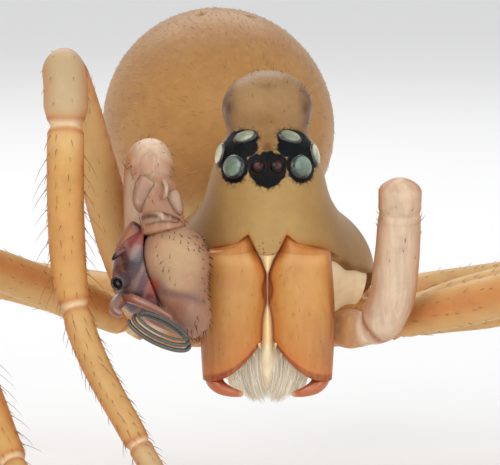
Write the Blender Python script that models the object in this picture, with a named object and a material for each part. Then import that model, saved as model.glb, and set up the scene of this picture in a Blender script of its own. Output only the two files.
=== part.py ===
"""Spirembolus novellus, a male dwarf sheet-web spider, as a still model at life size.

The spider faces -Y, its left side is +X, +Z is up and its feet stand on z = 0.
Sizes and places are in millimetres on a design frame whose origin lies under the face,
and an empty named spider puts the middle of the whole at the origin.
Each node is worked out in millimetres, then its mesh is scaled to metres.
"""

import math

import bmesh
import bpy
from mathutils import Vector

MM = 0.001

# Middle of the whole spider on the design frame, found from the feet that reach furthest
MIDDLE = (0.2264, 0.6387)

# Clearance that each node keeps to the next one
GAP = 0.004

# Carapace as centre and half sizes: thorax, head, neck, the field of the eyes and the male's lobe
THORAX = ((0, 0.50, 0.80), (0.350, 0.40, 0.265))
HEAD = ((0, 0.26, 0.94), (0.222, 0.28, 0.29))
NECK = ((0, 0.17, 1.17), (0.150, 0.17, 0.13))
EYE_FIELD = ((0, 0.165, 1.232), (0.142, 0.125, 0.085))
LOBE = ((0, 0.235, 1.358), (0.145, 0.175, 0.122))
CARAPACE_BLEND = 0.11
LOBE_BLEND = 0.04
CARAPACE_CORE = (0, 0.34, 1.00)
CARAPACE_FLOOR = 0.712
FLOOR_BLEND = 0.03

# Notch under the clypeus that the chelicerae hang in: its back wall and its ceiling, the clypeus's
# lower edge, as distance from the midline and height, a tongue between two peaks
CLYPEUS_BACK = 0.17
CLYPEUS_EDGE = ((0.0, 0.909), (0.022, 0.911), (0.036, 0.924), (0.050, 0.952), (0.061, 0.972),
                (0.074, 0.959), (0.090, 0.943), (0.115, 0.933), (0.145, 0.927), (0.172, 0.917),
                (0.205, 0.900), (0.271, 0.860), (0.400, 0.800))
CLYPEUS_BLEND = 0.01

# Underside plates
STERNUM = ((0, 0.53, 0.66), (0.160, 0.203, 0.082))
STERNUM_TOP = 0.70
STERNUM_CORE = (0, 0.53, 0.65)
LABIUM = ((0, 0.296, 0.625), (0.056, 0.023, 0.048))

# Maxillae, for the left side: root, tip, half thickness, and its shares along the length
MAXILLA = ((0.140, 0.215, 0.645), (0.062, 0.190, 0.478))
MAXILLA_RADIUS = 0.055
MAXILLA_SHARES = ((0.0, 0.70), (0.12, 0.92), (0.5, 1.0), (0.85, 0.95), (1.0, 0.60))

# Abdomen, turned to the spider's right, its tail end, and the stalk that joins it to the thorax
ABDOMEN = ((-0.165, 1.40, 1.20), (0.383, 0.53, 0.405))
ABDOMEN_TAIL = ((-0.30, 1.78, 1.00), (0.17, 0.20, 0.17))
ABDOMEN_YAW = math.radians(16)
ABDOMEN_BLEND = 0.12
STALK = ((0.0, 0.914, 0.80), (-0.02, 1.0, 0.87), (-0.05, 1.12, 1.0))
STALK_RADIUS = 0.05
SPINNERET_MOUND = ((-0.345, 1.915, 0.925), 0.07)
SPINNERET_LENGTH = 0.075
SPINNERET_LOOK = (-0.12, 0.40, -0.30)

# Spinnerets: place along the mound, size and distance apart of each pair, as shares of the mound
SPINNERETS = ((-0.6, 1.0, 0.50), (0.0, 0.6, 0.22), (0.6, 0.9, 0.50))

# Eyes: radius, the point it looks from and the point behind it, for the left side
EYES = {
    "front_middle": (0.019, (0.031, -0.40, 1.218), (0.031, 0.17, 1.183)),
    "front_side": (0.040, (0.199, -0.40, 1.203), (0.081, 0.15, 1.184)),
    "rear_middle": (0.031, (0.098, -0.30, 1.448), (0.062, 0.17, 1.232)),
    "rear_side": (0.027, (0.600, -0.12, 1.268), (0.060, 0.16, 1.222)),
}
EYE_LIFT = 0.15
EYE_CORE = 0.35

# Chelicerae, for the left side, level by level from the top: inner and outer distance from the
# midline, middle of the depth, height at the inner side, half depth and drop to the outer side
CHELICERA = (
    (0.0330, 0.2000, 0.072, 0.920, 0.077, 0.022),
    (0.0150, 0.2045, 0.068, 0.886, 0.087, 0.002),
    (0.0040, 0.2080, 0.065, 0.850, 0.091, 0.0),
    (0.0040, 0.2115, 0.060, 0.800, 0.094, 0.0),
    (0.0040, 0.2140, 0.056, 0.758, 0.094, 0.008),
    (0.0110, 0.2145, 0.052, 0.716, 0.092, 0.036),
    (0.0160, 0.2110, 0.046, 0.668, 0.087, 0.086),
    (0.0170, 0.2060, 0.040, 0.636, 0.078, 0.128),
)
CHELICERA_SIDES = 14
JAW_CORNER = 0.8
JAW_CURVE = 2.2

# Teeth of the fang groove: their shares of the way from the inner to the outer side, and their way
TEETH = (0.08, 0.20, 0.32, 0.44, 0.56)
TOOTH_WAY = (-0.014, -0.010, -0.034)
TOOTH_RADII = (0.009, 0.002)
FANG = ((0.168, 0.030, 0.476), (0.152, 0.000, 0.482), (0.118, -0.012, 0.470), (0.074, 0.000, 0.460))
FANG_RADIUS = 0.026

# Palps, for the left side: points from the trochanter outward, then where each node ends among them
PALP = {
    "left": ((0.208, 0.185, 0.655), (0.262, 0.150, 0.655), (0.340, 0.115, 0.668), (0.392, 0.090, 0.745),
             (0.412, 0.080, 0.880), (0.419, 0.074, 0.980), (0.421, 0.066, 1.035), (0.423, 0.042, 1.150)),
    "right": ((0.208, 0.185, 0.655), (0.262, 0.150, 0.655), (0.335, 0.105, 0.675), (0.368, 0.085, 0.760),
              (0.385, 0.092, 0.960), (0.388, 0.092, 1.110), (0.384, 0.068, 1.180), (0.376, 0.015, 1.212),
              (0.366, -0.042, 1.200), (0.359, -0.080, 1.160), (0.336, -0.112, 1.045)),
}
PALP_FEMUR = ((0.0, 0.044), (0.13, 0.055), (0.24, 0.050), (0.36, 0.072), (0.60, 0.073), (0.88, 0.070),
              (1.0, 0.060))
PALP_PATELLA = ((0.0, 0.058), (0.25, 0.069), (0.70, 0.069), (1.0, 0.054))
PALP_TIBIA = ((0.0, 0.054), (0.20, 0.068), (1.0, 0.070))
PALP_PARTS = {
    "left": (("femur", 6, PALP_FEMUR), ("patella", 7, PALP_PATELLA)),
    "right": (("femur", 7, PALP_FEMUR), ("patella", 9, PALP_PATELLA), ("tibia", 10, PALP_TIBIA)),
}
PALP_SIDES = 10

# Spurs and the collar at the outer end of the right palp's tibia: radius at the root and points
TIBIA_SPURS = (
    (0.031, ((-0.372, -0.138, 1.168), (-0.394, -0.142, 1.132),
             (-0.404, -0.134, 1.092), (-0.396, -0.122, 1.060))),
    (0.010, ((-0.330, -0.160, 1.166), (-0.318, -0.176, 1.144),
             (-0.320, -0.180, 1.120), (-0.334, -0.176, 1.102))),
    (0.024, ((-0.306, -0.138, 1.126), (-0.290, -0.146, 1.096),
             (-0.280, -0.142, 1.070), (-0.276, -0.132, 1.052))),
    (0.019, ((-0.390, -0.146, 1.036), (-0.354, -0.178, 1.050),
             (-0.312, -0.180, 1.048), (-0.276, -0.150, 1.034))),
)
SPUR_TAPER = 0.62

# Palp organ on the right side: the spoon as a leaning dome and tip, each as centre and half sizes
# with the sideways lean in step with height
SPOON_DOME = ((-0.2900, -0.118, 0.910), (0.108, 0.098, 0.112), -0.06)
SPOON_TIP = ((-0.262, -0.112, 0.782), (0.076, 0.082, 0.124), -0.30)
SPOON_BLEND = 0.07
SPOON_CORE = (-0.270, -0.115, 0.850)

# The bulb, the stub that stands out of it, its plates as root radius and points, and the embolus
BULB = ((-0.392, -0.090, 0.860), (0.100, 0.092, 0.142))
BULB_CORE = (-0.425, -0.105, 0.862)
STUB = ((-0.440, -0.135, 0.850), (-0.455, -0.165, 0.847), (-0.473, -0.205, 0.842))
STUB_RADII = (0.026, 0.025, 0.023)
PLATES = (
    (0.024, ((-0.430, -0.120, 0.800), (-0.472, -0.160, 0.776),
             (-0.480, -0.192, 0.756), (-0.456, -0.212, 0.742))),
    (0.017, ((-0.452, -0.150, 0.796), (-0.412, -0.188, 0.786),
             (-0.352, -0.208, 0.762), (-0.300, -0.210, 0.732))),
    (0.020, ((-0.400, -0.120, 0.770), (-0.370, -0.150, 0.732),
             (-0.320, -0.170, 0.704), (-0.278, -0.172, 0.680))),
    (0.026, ((-0.405, -0.100, 1.018), (-0.434, -0.098, 0.985),
             (-0.458, -0.098, 0.952), (-0.474, -0.102, 0.922))),
    (0.013, ((-0.446, -0.130, 0.945), (-0.466, -0.142, 0.934),
             (-0.480, -0.146, 0.922), (-0.490, -0.144, 0.908))),
)
PLATE_TAPER = 0.55
COIL_CENTRE = (-0.332, -0.279, 0.704)
COIL_HALF = (0.106, 0.050)
COIL_TURNS = 2.5
COIL_PITCH = 0.018
COIL_WIRE = 0.0075
COIL_SHRINK = 0.22
COIL_TAPER = 0.45
COIL_ROLL = math.radians(-27)
COIL_TILT = math.radians(56)
COIL_STEPS = 18

# Legs: where the coxa starts and ends, for the left side
COXAE = {
    1: ((0.128, 0.345, 0.635), (0.400, 0.272, 0.660)),
    2: ((0.170, 0.458, 0.635), (0.452, 0.425, 0.648)),
    3: ((0.170, 0.602, 0.635), (0.448, 0.625, 0.648)),
    4: ((0.128, 0.735, 0.635), (0.355, 0.865, 0.660)),
}

# Legs: lengths of femur, patella, tibia, metatarsus and tarsus
SEGMENTS = {
    1: (0.975, 0.205, 0.705, 0.500, 0.430),
    2: (0.770, 0.180, 0.565, 0.470, 0.410),
    3: (0.620, 0.160, 0.450, 0.420, 0.350),
    4: (0.820, 0.170, 0.660, 0.530, 0.410),
}

# Pose: outward turn from straight ahead and rise of each segment but the tarsus, in degrees, and
# the tarsus's turn
POSE = {
    ("right", 1): ((52, 70.5), (-7, -38), (-10, -74), (-44, -54), -52),
    ("right", 2): ((46, 20), (4, -46), (-39, -58), (-20, -20), -10),
    ("right", 3): ((105, 12), (107, -32), (109, -58), (108, -29), 108),
    ("right", 4): ((138, 1), (140, -20), (142, -34), (145, -15), 148),
    ("left", 1): ((53, 15), (46, -30), (40, -50), (35, -20), 32),
    ("left", 2): ((80, 10), (78, -30), (74, -46), (70, -16), 68),
    ("left", 3): ((112, 12), (112, -32), (112, -58), (114, -29), 114),
    ("left", 4): ((138, 1), (140, -20), (142, -34), (145, -15), 148),
}

# Leg radii along each part, as fraction of its length and radius
COXA_PROFILE = ((0.0, 0.048), (0.12, 0.064), (0.55, 0.066), (0.74, 0.056), (0.86, 0.060), (1.0, 0.052))
FEMUR_PROFILE = ((0.0, 0.044), (0.08, 0.058), (0.35, 0.069), (0.75, 0.066), (0.93, 0.062), (1.0, 0.050))
PATELLA_PROFILE = ((0.0, 0.050), (0.30, 0.071), (0.75, 0.073), (1.0, 0.057))
TIBIA_PROFILE = ((0.0, 0.057), (0.10, 0.061), (0.60, 0.060), (0.93, 0.055), (1.0, 0.047))
FOOT_PROFILE = ((0.0, 0.042), (0.06, 0.048), (0.45, 0.043), (0.53, 0.038), (0.60, 0.038), (0.92, 0.026),
                (1.0, 0.020))

# How much further along the patella reaches on the raised leg, past the bend that starts its tibia
PATELLA_REACH = {("right", 1): 0.131}
LEG_SCALE = {1: 1.0, 2: 0.96, 3: 0.90, 4: 0.96}
HIP_RADIUS = 0.075
KNEE_RADIUS = 0.085
TOE_LENGTH = 0.05
TOE_DROP = math.radians(50)
SIDES = 8
TANGENT_REACH = 0.006
SLOPE_STEP = 0.002


def clear_scene():
    """Removes whatever objects the file already holds."""
    for obj in list(bpy.data.objects):
        bpy.data.objects.remove(obj, do_unlink=True)


def material(name, colour, roughness):
    """A plain coat for one kind of node, made once."""
    found = bpy.data.materials.get(name)
    if found:
        return found
    mat = bpy.data.materials.new(name)
    mat.use_nodes = True
    shader = mat.node_tree.nodes["Principled BSDF"]
    shader.inputs["Base Color"].default_value = (*colour, 1.0)
    shader.inputs["Roughness"].default_value = roughness
    return mat


def mirrored(point, side):
    """A point given for the left side, moved to the side that is named."""
    x, y, z = point
    return Vector((x if side == "left" else -x, y, z))


def stitch(rings, start=None, end=None):
    """Points and triangles of a closed skin over rings of equal count, capped at both ends."""
    count = len(rings[0])
    points = [p for ring in rings for p in ring]
    faces = []
    for i in range(len(rings) - 1):
        for j in range(count):
            a = i * count + j
            b = i * count + (j + 1) % count
            faces.append((a, b, b + count))
            faces.append((a, b + count, a + count))
    last = (len(rings) - 1) * count
    for first, pole, backwards in ((0, start, True), (last, end, False)):
        ring = points[first:first + count]
        centre = len(points)
        points.append(pole if pole is not None else sum(ring, Vector((0, 0, 0))) / count)
        for j in range(count):
            a = first + j
            b = first + (j + 1) % count
            faces.append((b, a, centre) if backwards else (a, b, centre))
    return points, faces


def spline(points, per_span):
    """A smooth centripetal curve through all points, with per_span steps between each two."""
    points = [Vector(p) for p in points]
    ends = [points[0] * 2 - points[1]] + points + [points[-1] * 2 - points[-2]]
    curve = []
    for i in range(1, len(ends) - 2):
        p0, p1, p2, p3 = ends[i - 1:i + 3]
        t0 = 0.0
        t1 = t0 + math.sqrt((p1 - p0).length)
        t2 = t1 + math.sqrt((p2 - p1).length)
        t3 = t2 + math.sqrt((p3 - p2).length)
        for k in range(per_span):
            t = t1 + (t2 - t1) * k / per_span
            a1 = p0 * ((t1 - t) / (t1 - t0)) + p1 * ((t - t0) / (t1 - t0))
            a2 = p1 * ((t2 - t) / (t2 - t1)) + p2 * ((t - t1) / (t2 - t1))
            a3 = p2 * ((t3 - t) / (t3 - t2)) + p3 * ((t - t2) / (t3 - t2))
            b1 = a1 * ((t2 - t) / (t2 - t0)) + a2 * ((t - t0) / (t2 - t0))
            b2 = a2 * ((t3 - t) / (t3 - t1)) + a3 * ((t - t1) / (t3 - t1))
            curve.append(b1 * ((t2 - t) / (t2 - t1)) + b2 * ((t - t1) / (t2 - t1)))
    curve.append(points[-1])
    return curve


def lengths_along(path):
    """Distance from the start of a path to each of its points."""
    run = [0.0]
    for a, b in zip(path, path[1:]):
        run.append(run[-1] + (b - a).length)
    return run


def place_at(path, run, distance):
    """The point at a distance along a path."""
    for i in range(len(path) - 1):
        if distance <= run[i + 1] or i == len(path) - 2:
            share = (distance - run[i]) / (run[i + 1] - run[i])
            return path[i].lerp(path[i + 1], share)


def read_profile(profile, share):
    """The radius at a share of the length, eased between the profile's entries."""
    for (s0, r0), (s1, r1) in zip(profile, profile[1:]):
        if share <= s1:
            t = (share - s0) / (s1 - s0)
            return r0 + (r1 - r0) * t * t * (3 - 2 * t)
    return profile[-1][1]


def tangents_of(path):
    """Direction of a path at each point, from the point before it to the one after it."""
    last = len(path) - 1
    return [(path[min(i + 1, last)] - path[max(i - 1, 0)]).normalized() for i in range(len(path))]


def tube(path, radii, sides=SIDES, tangents=None, on_floor=False):
    """A closed tube along a path, its rings carried along without twisting."""
    tangents = tangents or tangents_of(path)
    cross = tangents[0].cross(Vector((0, 0, 1)))
    if cross.length < 0.2:
        cross = tangents[0].cross(Vector((0, 1, 0)))
    rings = []
    for centre, tangent, radius in zip(path, tangents, radii):
        cross = (cross - tangent * cross.dot(tangent)).normalized()
        other = tangent.cross(cross)
        ring = []
        for j in range(sides):
            turn = 2 * math.pi * j / sides
            ring.append(centre + (cross * math.cos(turn) + other * math.sin(turn)) * radius)
        rings.append(ring)
    if on_floor:
        down = tangents[-1]
        rings[-1] = [p - down * (p.z / down.z) for p in rings[-1]]
    return stitch(rings)


def part_of_path(path, start, end, profile, scale=1.0, sides=SIDES, on_floor=False):
    """The tube between two distances along a path, square to the path at both ends."""
    run = lengths_along(path)
    shares = [s for s, _ in profile]
    shares += [(a + b) / 2 for a, b in zip(shares, shares[1:]) if b - a > 0.2]
    shares.sort()
    distances = [start + (end - start) * s for s in shares]
    centres = [place_at(path, run, d) for d in distances]
    tangents = []
    for distance in distances:
        after = place_at(path, run, min(distance + TANGENT_REACH, run[-1]))
        before = place_at(path, run, max(distance - TANGENT_REACH, 0))
        tangents.append((after - before).normalized())
    radii = [read_profile(profile, s) * scale for s in shares]
    return tube(centres, radii, sides, tangents, on_floor)


def ellipsoid(p, centre, half):
    """Rough signed distance to an ellipsoid, negative inside."""
    scaled = Vector([(value - middle) / size for value, middle, size in zip(p, centre, half)])
    return (scaled.length - 1.0) * min(half)


def leaning_egg(p, centre, half, lean):
    """Distance to an ellipsoid whose sections are pushed sideways in step with their height."""
    return ellipsoid((p[0] - lean * (p[2] - centre[2]), p[1], p[2]), centre, half)


def smooth_min(a, b, blend):
    """The lesser of two distances, rounded where they are closer than blend."""
    h = max(blend - abs(a - b), 0.0) / blend
    return min(a, b) - h * h * blend * 0.25


def smooth_max(a, b, blend):
    """The greater of two distances, rounded in the same way."""
    return -smooth_min(-a, -b, blend)


def skin(field, core, rows, columns, reach=1.2):
    """The surface where a field is zero, found along rays from a point inside it, with poles on Z."""
    core = Vector(core)

    def hit(direction):
        near, far = 0.0, reach
        for _ in range(24):
            middle = 0.5 * (near + far)
            if field(core + direction * middle) < 0:
                near = middle
            else:
                far = middle
        return core + direction * near

    rings = []
    for i in range(1, rows):
        tilt = math.pi * i / rows
        ring = []
        for j in range(columns):
            turn = 2 * math.pi * (j + 0.5) / columns
            flat = math.sin(tilt)
            ring.append(hit(Vector((flat * math.cos(turn), flat * math.sin(turn), -math.cos(tilt)))))
        rings.append(ring)
    return stitch(rings, hit(Vector((0, 0, -1))), hit(Vector((0, 0, 1))))


def clypeus_edge(x):
    """Height of the clypeus's lower edge at a distance from the midline."""
    for (x0, z0), (x1, z1) in zip(CLYPEUS_EDGE, CLYPEUS_EDGE[1:]):
        if abs(x) <= x1:
            return z0 + (z1 - z0) * (abs(x) - x0) / (x1 - x0)
    return CLYPEUS_EDGE[-1][1]


def carapace_field(p):
    """Thorax, head, neck, eye field and lobe melted together, less the notch and cut level below."""
    shape = smooth_min(ellipsoid(p, *THORAX), ellipsoid(p, *HEAD), CARAPACE_BLEND)
    shape = smooth_min(shape, ellipsoid(p, *NECK), CARAPACE_BLEND)
    shape = smooth_min(shape, ellipsoid(p, *EYE_FIELD), LOBE_BLEND)
    shape = smooth_min(shape, ellipsoid(p, *LOBE), LOBE_BLEND)
    notch = min(clypeus_edge(p[0]) - p[2], CLYPEUS_BACK - p[1])
    shape = smooth_max(shape, notch, CLYPEUS_BLEND)
    return smooth_max(shape, CARAPACE_FLOOR - p[2], FLOOR_BLEND)


def sternum_field(p):
    """A dome that hangs down, its top cut level."""
    return smooth_max(ellipsoid(p, *STERNUM), p[2] - STERNUM_TOP, 0.02)


def abdomen_field(p):
    """A turned egg melted into its tail end."""
    centre = Vector(ABDOMEN[0])
    x, y = p[0] - centre.x, p[1] - centre.y
    turned = (x * math.cos(ABDOMEN_YAW) + y * math.sin(ABDOMEN_YAW),
              y * math.cos(ABDOMEN_YAW) - x * math.sin(ABDOMEN_YAW), p[2] - centre.z)
    shape = ellipsoid(turned, (0, 0, 0), ABDOMEN[1])
    return smooth_min(shape, ellipsoid(p, *ABDOMEN_TAIL), ABDOMEN_BLEND)


def cymbium_field(p):
    """The palp's spoon: a dome and a narrower tip below it, with a shallow fold between them."""
    return smooth_min(leaning_egg(p, *SPOON_DOME), leaning_egg(p, *SPOON_TIP), SPOON_BLEND)


def on_surface(field, outside, inside):
    """Where the line from outside to inside meets a field's surface, with the normal there."""
    out, into = Vector(outside), Vector(inside)
    for _ in range(30):
        middle = (out + into) / 2
        if field(middle) > 0:
            out = middle
        else:
            into = middle
    steps = [Vector([SLOPE_STEP if k == axis else 0 for k in range(3)]) for axis in range(3)]
    normal = Vector([field(out + s) - field(out - s) for s in steps]).normalized()
    return out, normal


def eye_shape(radius, outside, inside):
    """A dome that sits on the carapace and looks along the surface's normal."""
    foot, normal = on_surface(carapace_field, outside, inside)
    middle = foot + normal * radius * EYE_LIFT

    def field(p):
        return max((Vector(p) - middle).length - radius, GAP - carapace_field(p))

    return skin(field, foot + normal * (GAP + radius * EYE_CORE), 6, 10, reach=radius * 2)


def groove_height(level, share):
    """Height of a chelicera's level at a share of the way from its inner to its outer side."""
    return level[3] + level[5] * ((1 - share) ** JAW_CURVE - 1)


def chelicera_shape(side):
    """A column of rounded sections whose lower ones fall away to the curved margin of the groove."""
    rings = []
    for level in CHELICERA:
        inner, outer, middle_y, _, half_depth, _ = level
        ring = []
        for j in range(CHELICERA_SIDES):
            turn = 2 * math.pi * j / CHELICERA_SIDES
            aside = math.copysign(abs(math.cos(turn)) ** JAW_CORNER, math.cos(turn))
            back = math.copysign(abs(math.sin(turn)) ** JAW_CORNER, math.sin(turn))
            share = (aside + 1) / 2
            x = inner + (outer - inner) * share
            y = middle_y + half_depth * back
            ring.append(mirrored((x, y, groove_height(level, share)), side))
        rings.append(ring if side == "left" else ring[::-1])
    return stitch(rings[::-1])


def chelicera_teeth(side):
    """Small teeth along the front edge of the fang groove."""
    inner, outer, middle_y, _, half_depth, _ = CHELICERA[-1]
    teeth = []
    for share in TEETH:
        root = Vector((inner + (outer - inner) * share, middle_y - half_depth / 2,
                       groove_height(CHELICERA[-1], share) + 0.012))
        tip = root + Vector(TOOTH_WAY)
        teeth.append(tube([mirrored(root, side), mirrored(tip, side)], TOOTH_RADII, sides=5))
    return teeth


def tapered(root_radius, count, taper, power):
    """Radii of count rings that fall from the root's by taper, in step with a power of the share."""
    return [root_radius * (1 - taper * (i / (count - 1)) ** power) for i in range(count)]


def fang_shape(side):
    """A curved spike that thins to its point."""
    path = spline([mirrored(p, side) for p in FANG], 3)
    return tube(path, tapered(FANG_RADIUS, len(path), 0.86, 1.3))


def maxilla_shape(side):
    """A plate as thick as a finger's end, from beside the mouth down to its brush."""
    root, tip = (mirrored(p, side) for p in MAXILLA)
    stem = [root.lerp(tip, share) for share, _ in MAXILLA_SHARES]
    return tube(stem, [MAXILLA_RADIUS * radius for _, radius in MAXILLA_SHARES])


def spinneret_shapes():
    """Three pairs of short cones on a low mound at the tail."""
    centre, radius = SPINNERET_MOUND
    foot, normal = on_surface(abdomen_field, Vector(centre) + Vector(SPINNERET_LOOK), ABDOMEN_TAIL[0])

    def mound(p):
        return max((Vector(p) - foot).length - radius, GAP - abdomen_field(p))

    shapes = [skin(mound, foot + normal * radius * 0.5, 6, 12, reach=0.3)]
    across = normal.cross(Vector((0, 0, 1))).normalized()
    along = normal.cross(across)
    for row, size, apart in SPINNERETS:
        for hand in (-1, 1):
            root = foot + across * hand * radius * apart + along * row * radius
            root += normal * radius * 0.45
            tip = root + (normal + across * hand * 0.25) * SPINNERET_LENGTH * size
            radii = [0.021 * size, 0.018 * size, 0.009]
            shapes.append(tube([root, root.lerp(tip, 0.6), tip], radii, sides=6))
    return shapes


def horns(table, taper, power):
    """Curved horns, each from its root's radius and the points of its line."""
    shapes = []
    for radius, points in table:
        path = spline(points, 2)
        shapes.append(tube(path, tapered(radius, len(path), taper, power), sides=6))
    return shapes


def bulb_shapes():
    """The bulb, the stub at its outer side and the plates that frame it and lead to the coil."""
    def field(p):
        return max(ellipsoid(p, *BULB), GAP * 1.5 - cymbium_field(p))

    body = skin(field, BULB_CORE, 12, 16, reach=0.4)
    stub = tube([Vector(p) for p in STUB], STUB_RADII)
    return [body, stub] + horns(PLATES, PLATE_TAPER, 2)


def coil_shape():
    """The embolus, a thin wire wound into a flat oval coil.

    It turns round an ellipse that shrinks a little and moves along its axis by the pitch; the coil
    is then tilted back and rolled in the plane that faces forward.
    """
    steps = int(COIL_TURNS * COIL_STEPS)
    path = []
    for i in range(steps + 1):
        turn = 2 * math.pi * COIL_TURNS * i / steps
        share = i / steps
        size = 1.0 - COIL_SHRINK * share
        u = COIL_HALF[0] * size * math.cos(turn + math.pi)
        v = COIL_HALF[1] * size * math.sin(turn + math.pi)
        w = COIL_PITCH * (turn / (2 * math.pi) - COIL_TURNS / 2)
        lifted = v * math.cos(COIL_TILT) + w * math.sin(COIL_TILT)
        depth = -w * math.cos(COIL_TILT) + v * math.sin(COIL_TILT)
        path.append(Vector((
            COIL_CENTRE[0] + u * math.cos(COIL_ROLL) - lifted * math.sin(COIL_ROLL),
            COIL_CENTRE[1] + depth,
            COIL_CENTRE[2] + u * math.sin(COIL_ROLL) + lifted * math.cos(COIL_ROLL))))
    return tube(path, tapered(COIL_WIRE, steps + 1, COIL_TAPER, 2), sides=5)


def direction(turn, rise, side):
    """Unit vector that is turned outward from straight ahead and raised, both in degrees."""
    turn, rise = math.radians(turn), math.radians(rise)
    level = math.cos(rise)
    return mirrored((math.sin(turn) * level, -math.cos(turn) * level, math.sin(rise)), side)


def leg_joints(side, number):
    """The leg's joints from the end of the trochanter down to the toe on the floor."""
    joints = [mirrored(COXAE[number][1], side)]
    *angles, last_turn = POSE[(side, number)]
    lengths = SEGMENTS[number]
    for (turn, rise), length in zip(angles, lengths):
        joints.append(joints[-1] + direction(turn, rise, side) * length)
    toe_height = TOE_LENGTH * math.sin(TOE_DROP)
    drop = math.degrees(math.asin((toe_height - joints[-1].z) / lengths[4]))
    joints.append(joints[-1] + direction(last_turn, drop, side) * lengths[4])
    joints.append(joints[-1] + direction(last_turn, -math.degrees(TOE_DROP), side) * TOE_LENGTH)
    return joints


def bend(before, corner, after, radius):
    """Start, middle and end of an arc that rounds a corner of a path."""
    back, ahead = (before - corner).normalized(), (after - corner).normalized()
    half = (math.pi - back.angle(ahead)) / 2
    inward = (back + ahead).normalized()
    cut = radius * math.tan(half)
    return corner + back * cut, corner + inward * radius * (1 / math.cos(half) - 1), corner + ahead * cut


def joined_profiles(first, second, meeting):
    """One profile out of two, the first up to the share where they meet and the second after it."""
    before = [(share * meeting, radius) for share, radius in first]
    after = [(meeting + share * (1 - meeting), radius) for share, radius in second[1:]]
    return before + after


def leg_shapes(side, number):
    """Coxa, femur, patella with tibia, and metatarsus with tarsus, cut from one smooth path."""
    root = mirrored(COXAE[number][0], side)
    hip, knee, *lower = leg_joints(side, number)
    scale = LEG_SCALE[number]
    steps = 10
    hip_arc = bend(root, hip, knee, HIP_RADIUS)
    knee_arc = bend(hip, knee, lower[0], KNEE_RADIUS)
    path = spline([root, *hip_arc, *knee_arc, *lower], steps)
    run = lengths_along(path)
    start, hip_mark, knee_mark, bend_mark, ankle, toe = (run[i * steps] for i in (0, 2, 5, 7, 8, 11))
    joint = bend_mark + PATELLA_REACH.get((side, number), 0)
    shin_profile = joined_profiles(PATELLA_PROFILE, TIBIA_PROFILE, (joint - knee_mark) / (ankle - knee_mark))
    half = GAP / 2
    return {
        "coxa": part_of_path(path, start, hip_mark - half, COXA_PROFILE, scale),
        "femur": part_of_path(path, hip_mark + half, knee_mark - half, FEMUR_PROFILE, scale),
        "patella_tibia": part_of_path(path, knee_mark + half, ankle - half, shin_profile, scale),
        "metatarsus_tarsus": part_of_path(path, ankle + half, toe, FOOT_PROFILE, scale, on_floor=True),
    }


def palp_shapes(side):
    """Femur with trochanter, patella and, on the right side, tibia, cut from one smooth path."""
    steps = 6
    knots = PALP[side]
    path = spline([mirrored(p, side) for p in knots], steps)
    run = lengths_along(path)
    half = GAP / 2
    shapes = {}
    first = 0
    for kind, last, profile in PALP_PARTS[side]:
        start = run[first * steps] + (half if first else 0)
        end = run[last * steps] - (half if last < len(knots) - 1 else 0)
        shapes[kind] = part_of_path(path, start, end, profile, sides=PALP_SIDES)
        first = last
    return shapes


def mesh_of(name, shape):
    """A mesh of a shape's points and triangles."""
    mesh = bpy.data.meshes.new(name)
    mesh.from_pydata([tuple(p) for p in shape[0]], [], shape[1])
    mesh.validate()
    return mesh


def largest_island(mesh):
    """Keep only the biggest closed surface and turn every face into triangles."""
    bm = bmesh.new()
    bm.from_mesh(mesh)
    bmesh.ops.triangulate(bm, faces=bm.faces)
    bmesh.ops.dissolve_degenerate(bm, edges=bm.edges, dist=1e-5)
    bmesh.ops.triangulate(bm, faces=bm.faces)
    left = set(bm.faces)
    islands = []
    while left:
        stack = [left.pop()]
        island = list(stack)
        while stack:
            for edge in stack.pop().edges:
                for face in edge.link_faces:
                    if face in left:
                        left.remove(face)
                        stack.append(face)
                        island.append(face)
        islands.append(island)
    islands.sort(key=len)
    for island in islands[:-1]:
        bmesh.ops.delete(bm, geom=island, context="FACES")
    loose = [v for v in bm.verts if not v.link_faces]
    bmesh.ops.delete(bm, geom=loose, context="VERTS")
    bm.to_mesh(mesh)
    bm.free()


def fused(name, shapes):
    """One mesh that joins closed shapes, with the ones after the first sunk into it."""
    base = bpy.data.objects.new(name, mesh_of(name, shapes[0]))
    bpy.context.scene.collection.objects.link(base)
    group = bpy.data.collections.new(name + "_pieces")
    bpy.context.scene.collection.children.link(group)
    for shape in shapes[1:]:
        group.objects.link(bpy.data.objects.new(name + "_piece", mesh_of(name, shape)))
    join = base.modifiers.new("join", "BOOLEAN")
    join.operation = "UNION"
    join.operand_type = "COLLECTION"
    join.collection = group
    join.solver = "EXACT"
    graph = bpy.context.evaluated_depsgraph_get()
    mesh = bpy.data.meshes.new_from_object(base.evaluated_get(graph))
    for obj in list(group.objects) + [base]:
        bpy.data.objects.remove(obj, do_unlink=True)
    bpy.data.collections.remove(group)
    largest_island(mesh)
    return mesh


def add(name, shapes, coat, parent):
    """One node: a single closed shape, or a list of them fused into one."""
    mesh = fused(name, shapes) if isinstance(shapes, list) else mesh_of(name, shapes)
    for vertex in mesh.vertices:
        vertex.co *= MM
    mesh.materials.clear()
    mesh.materials.append(coat)
    obj = bpy.data.objects.new(name, mesh)
    obj.parent = parent
    bpy.context.scene.collection.objects.link(obj)
    return obj


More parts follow.
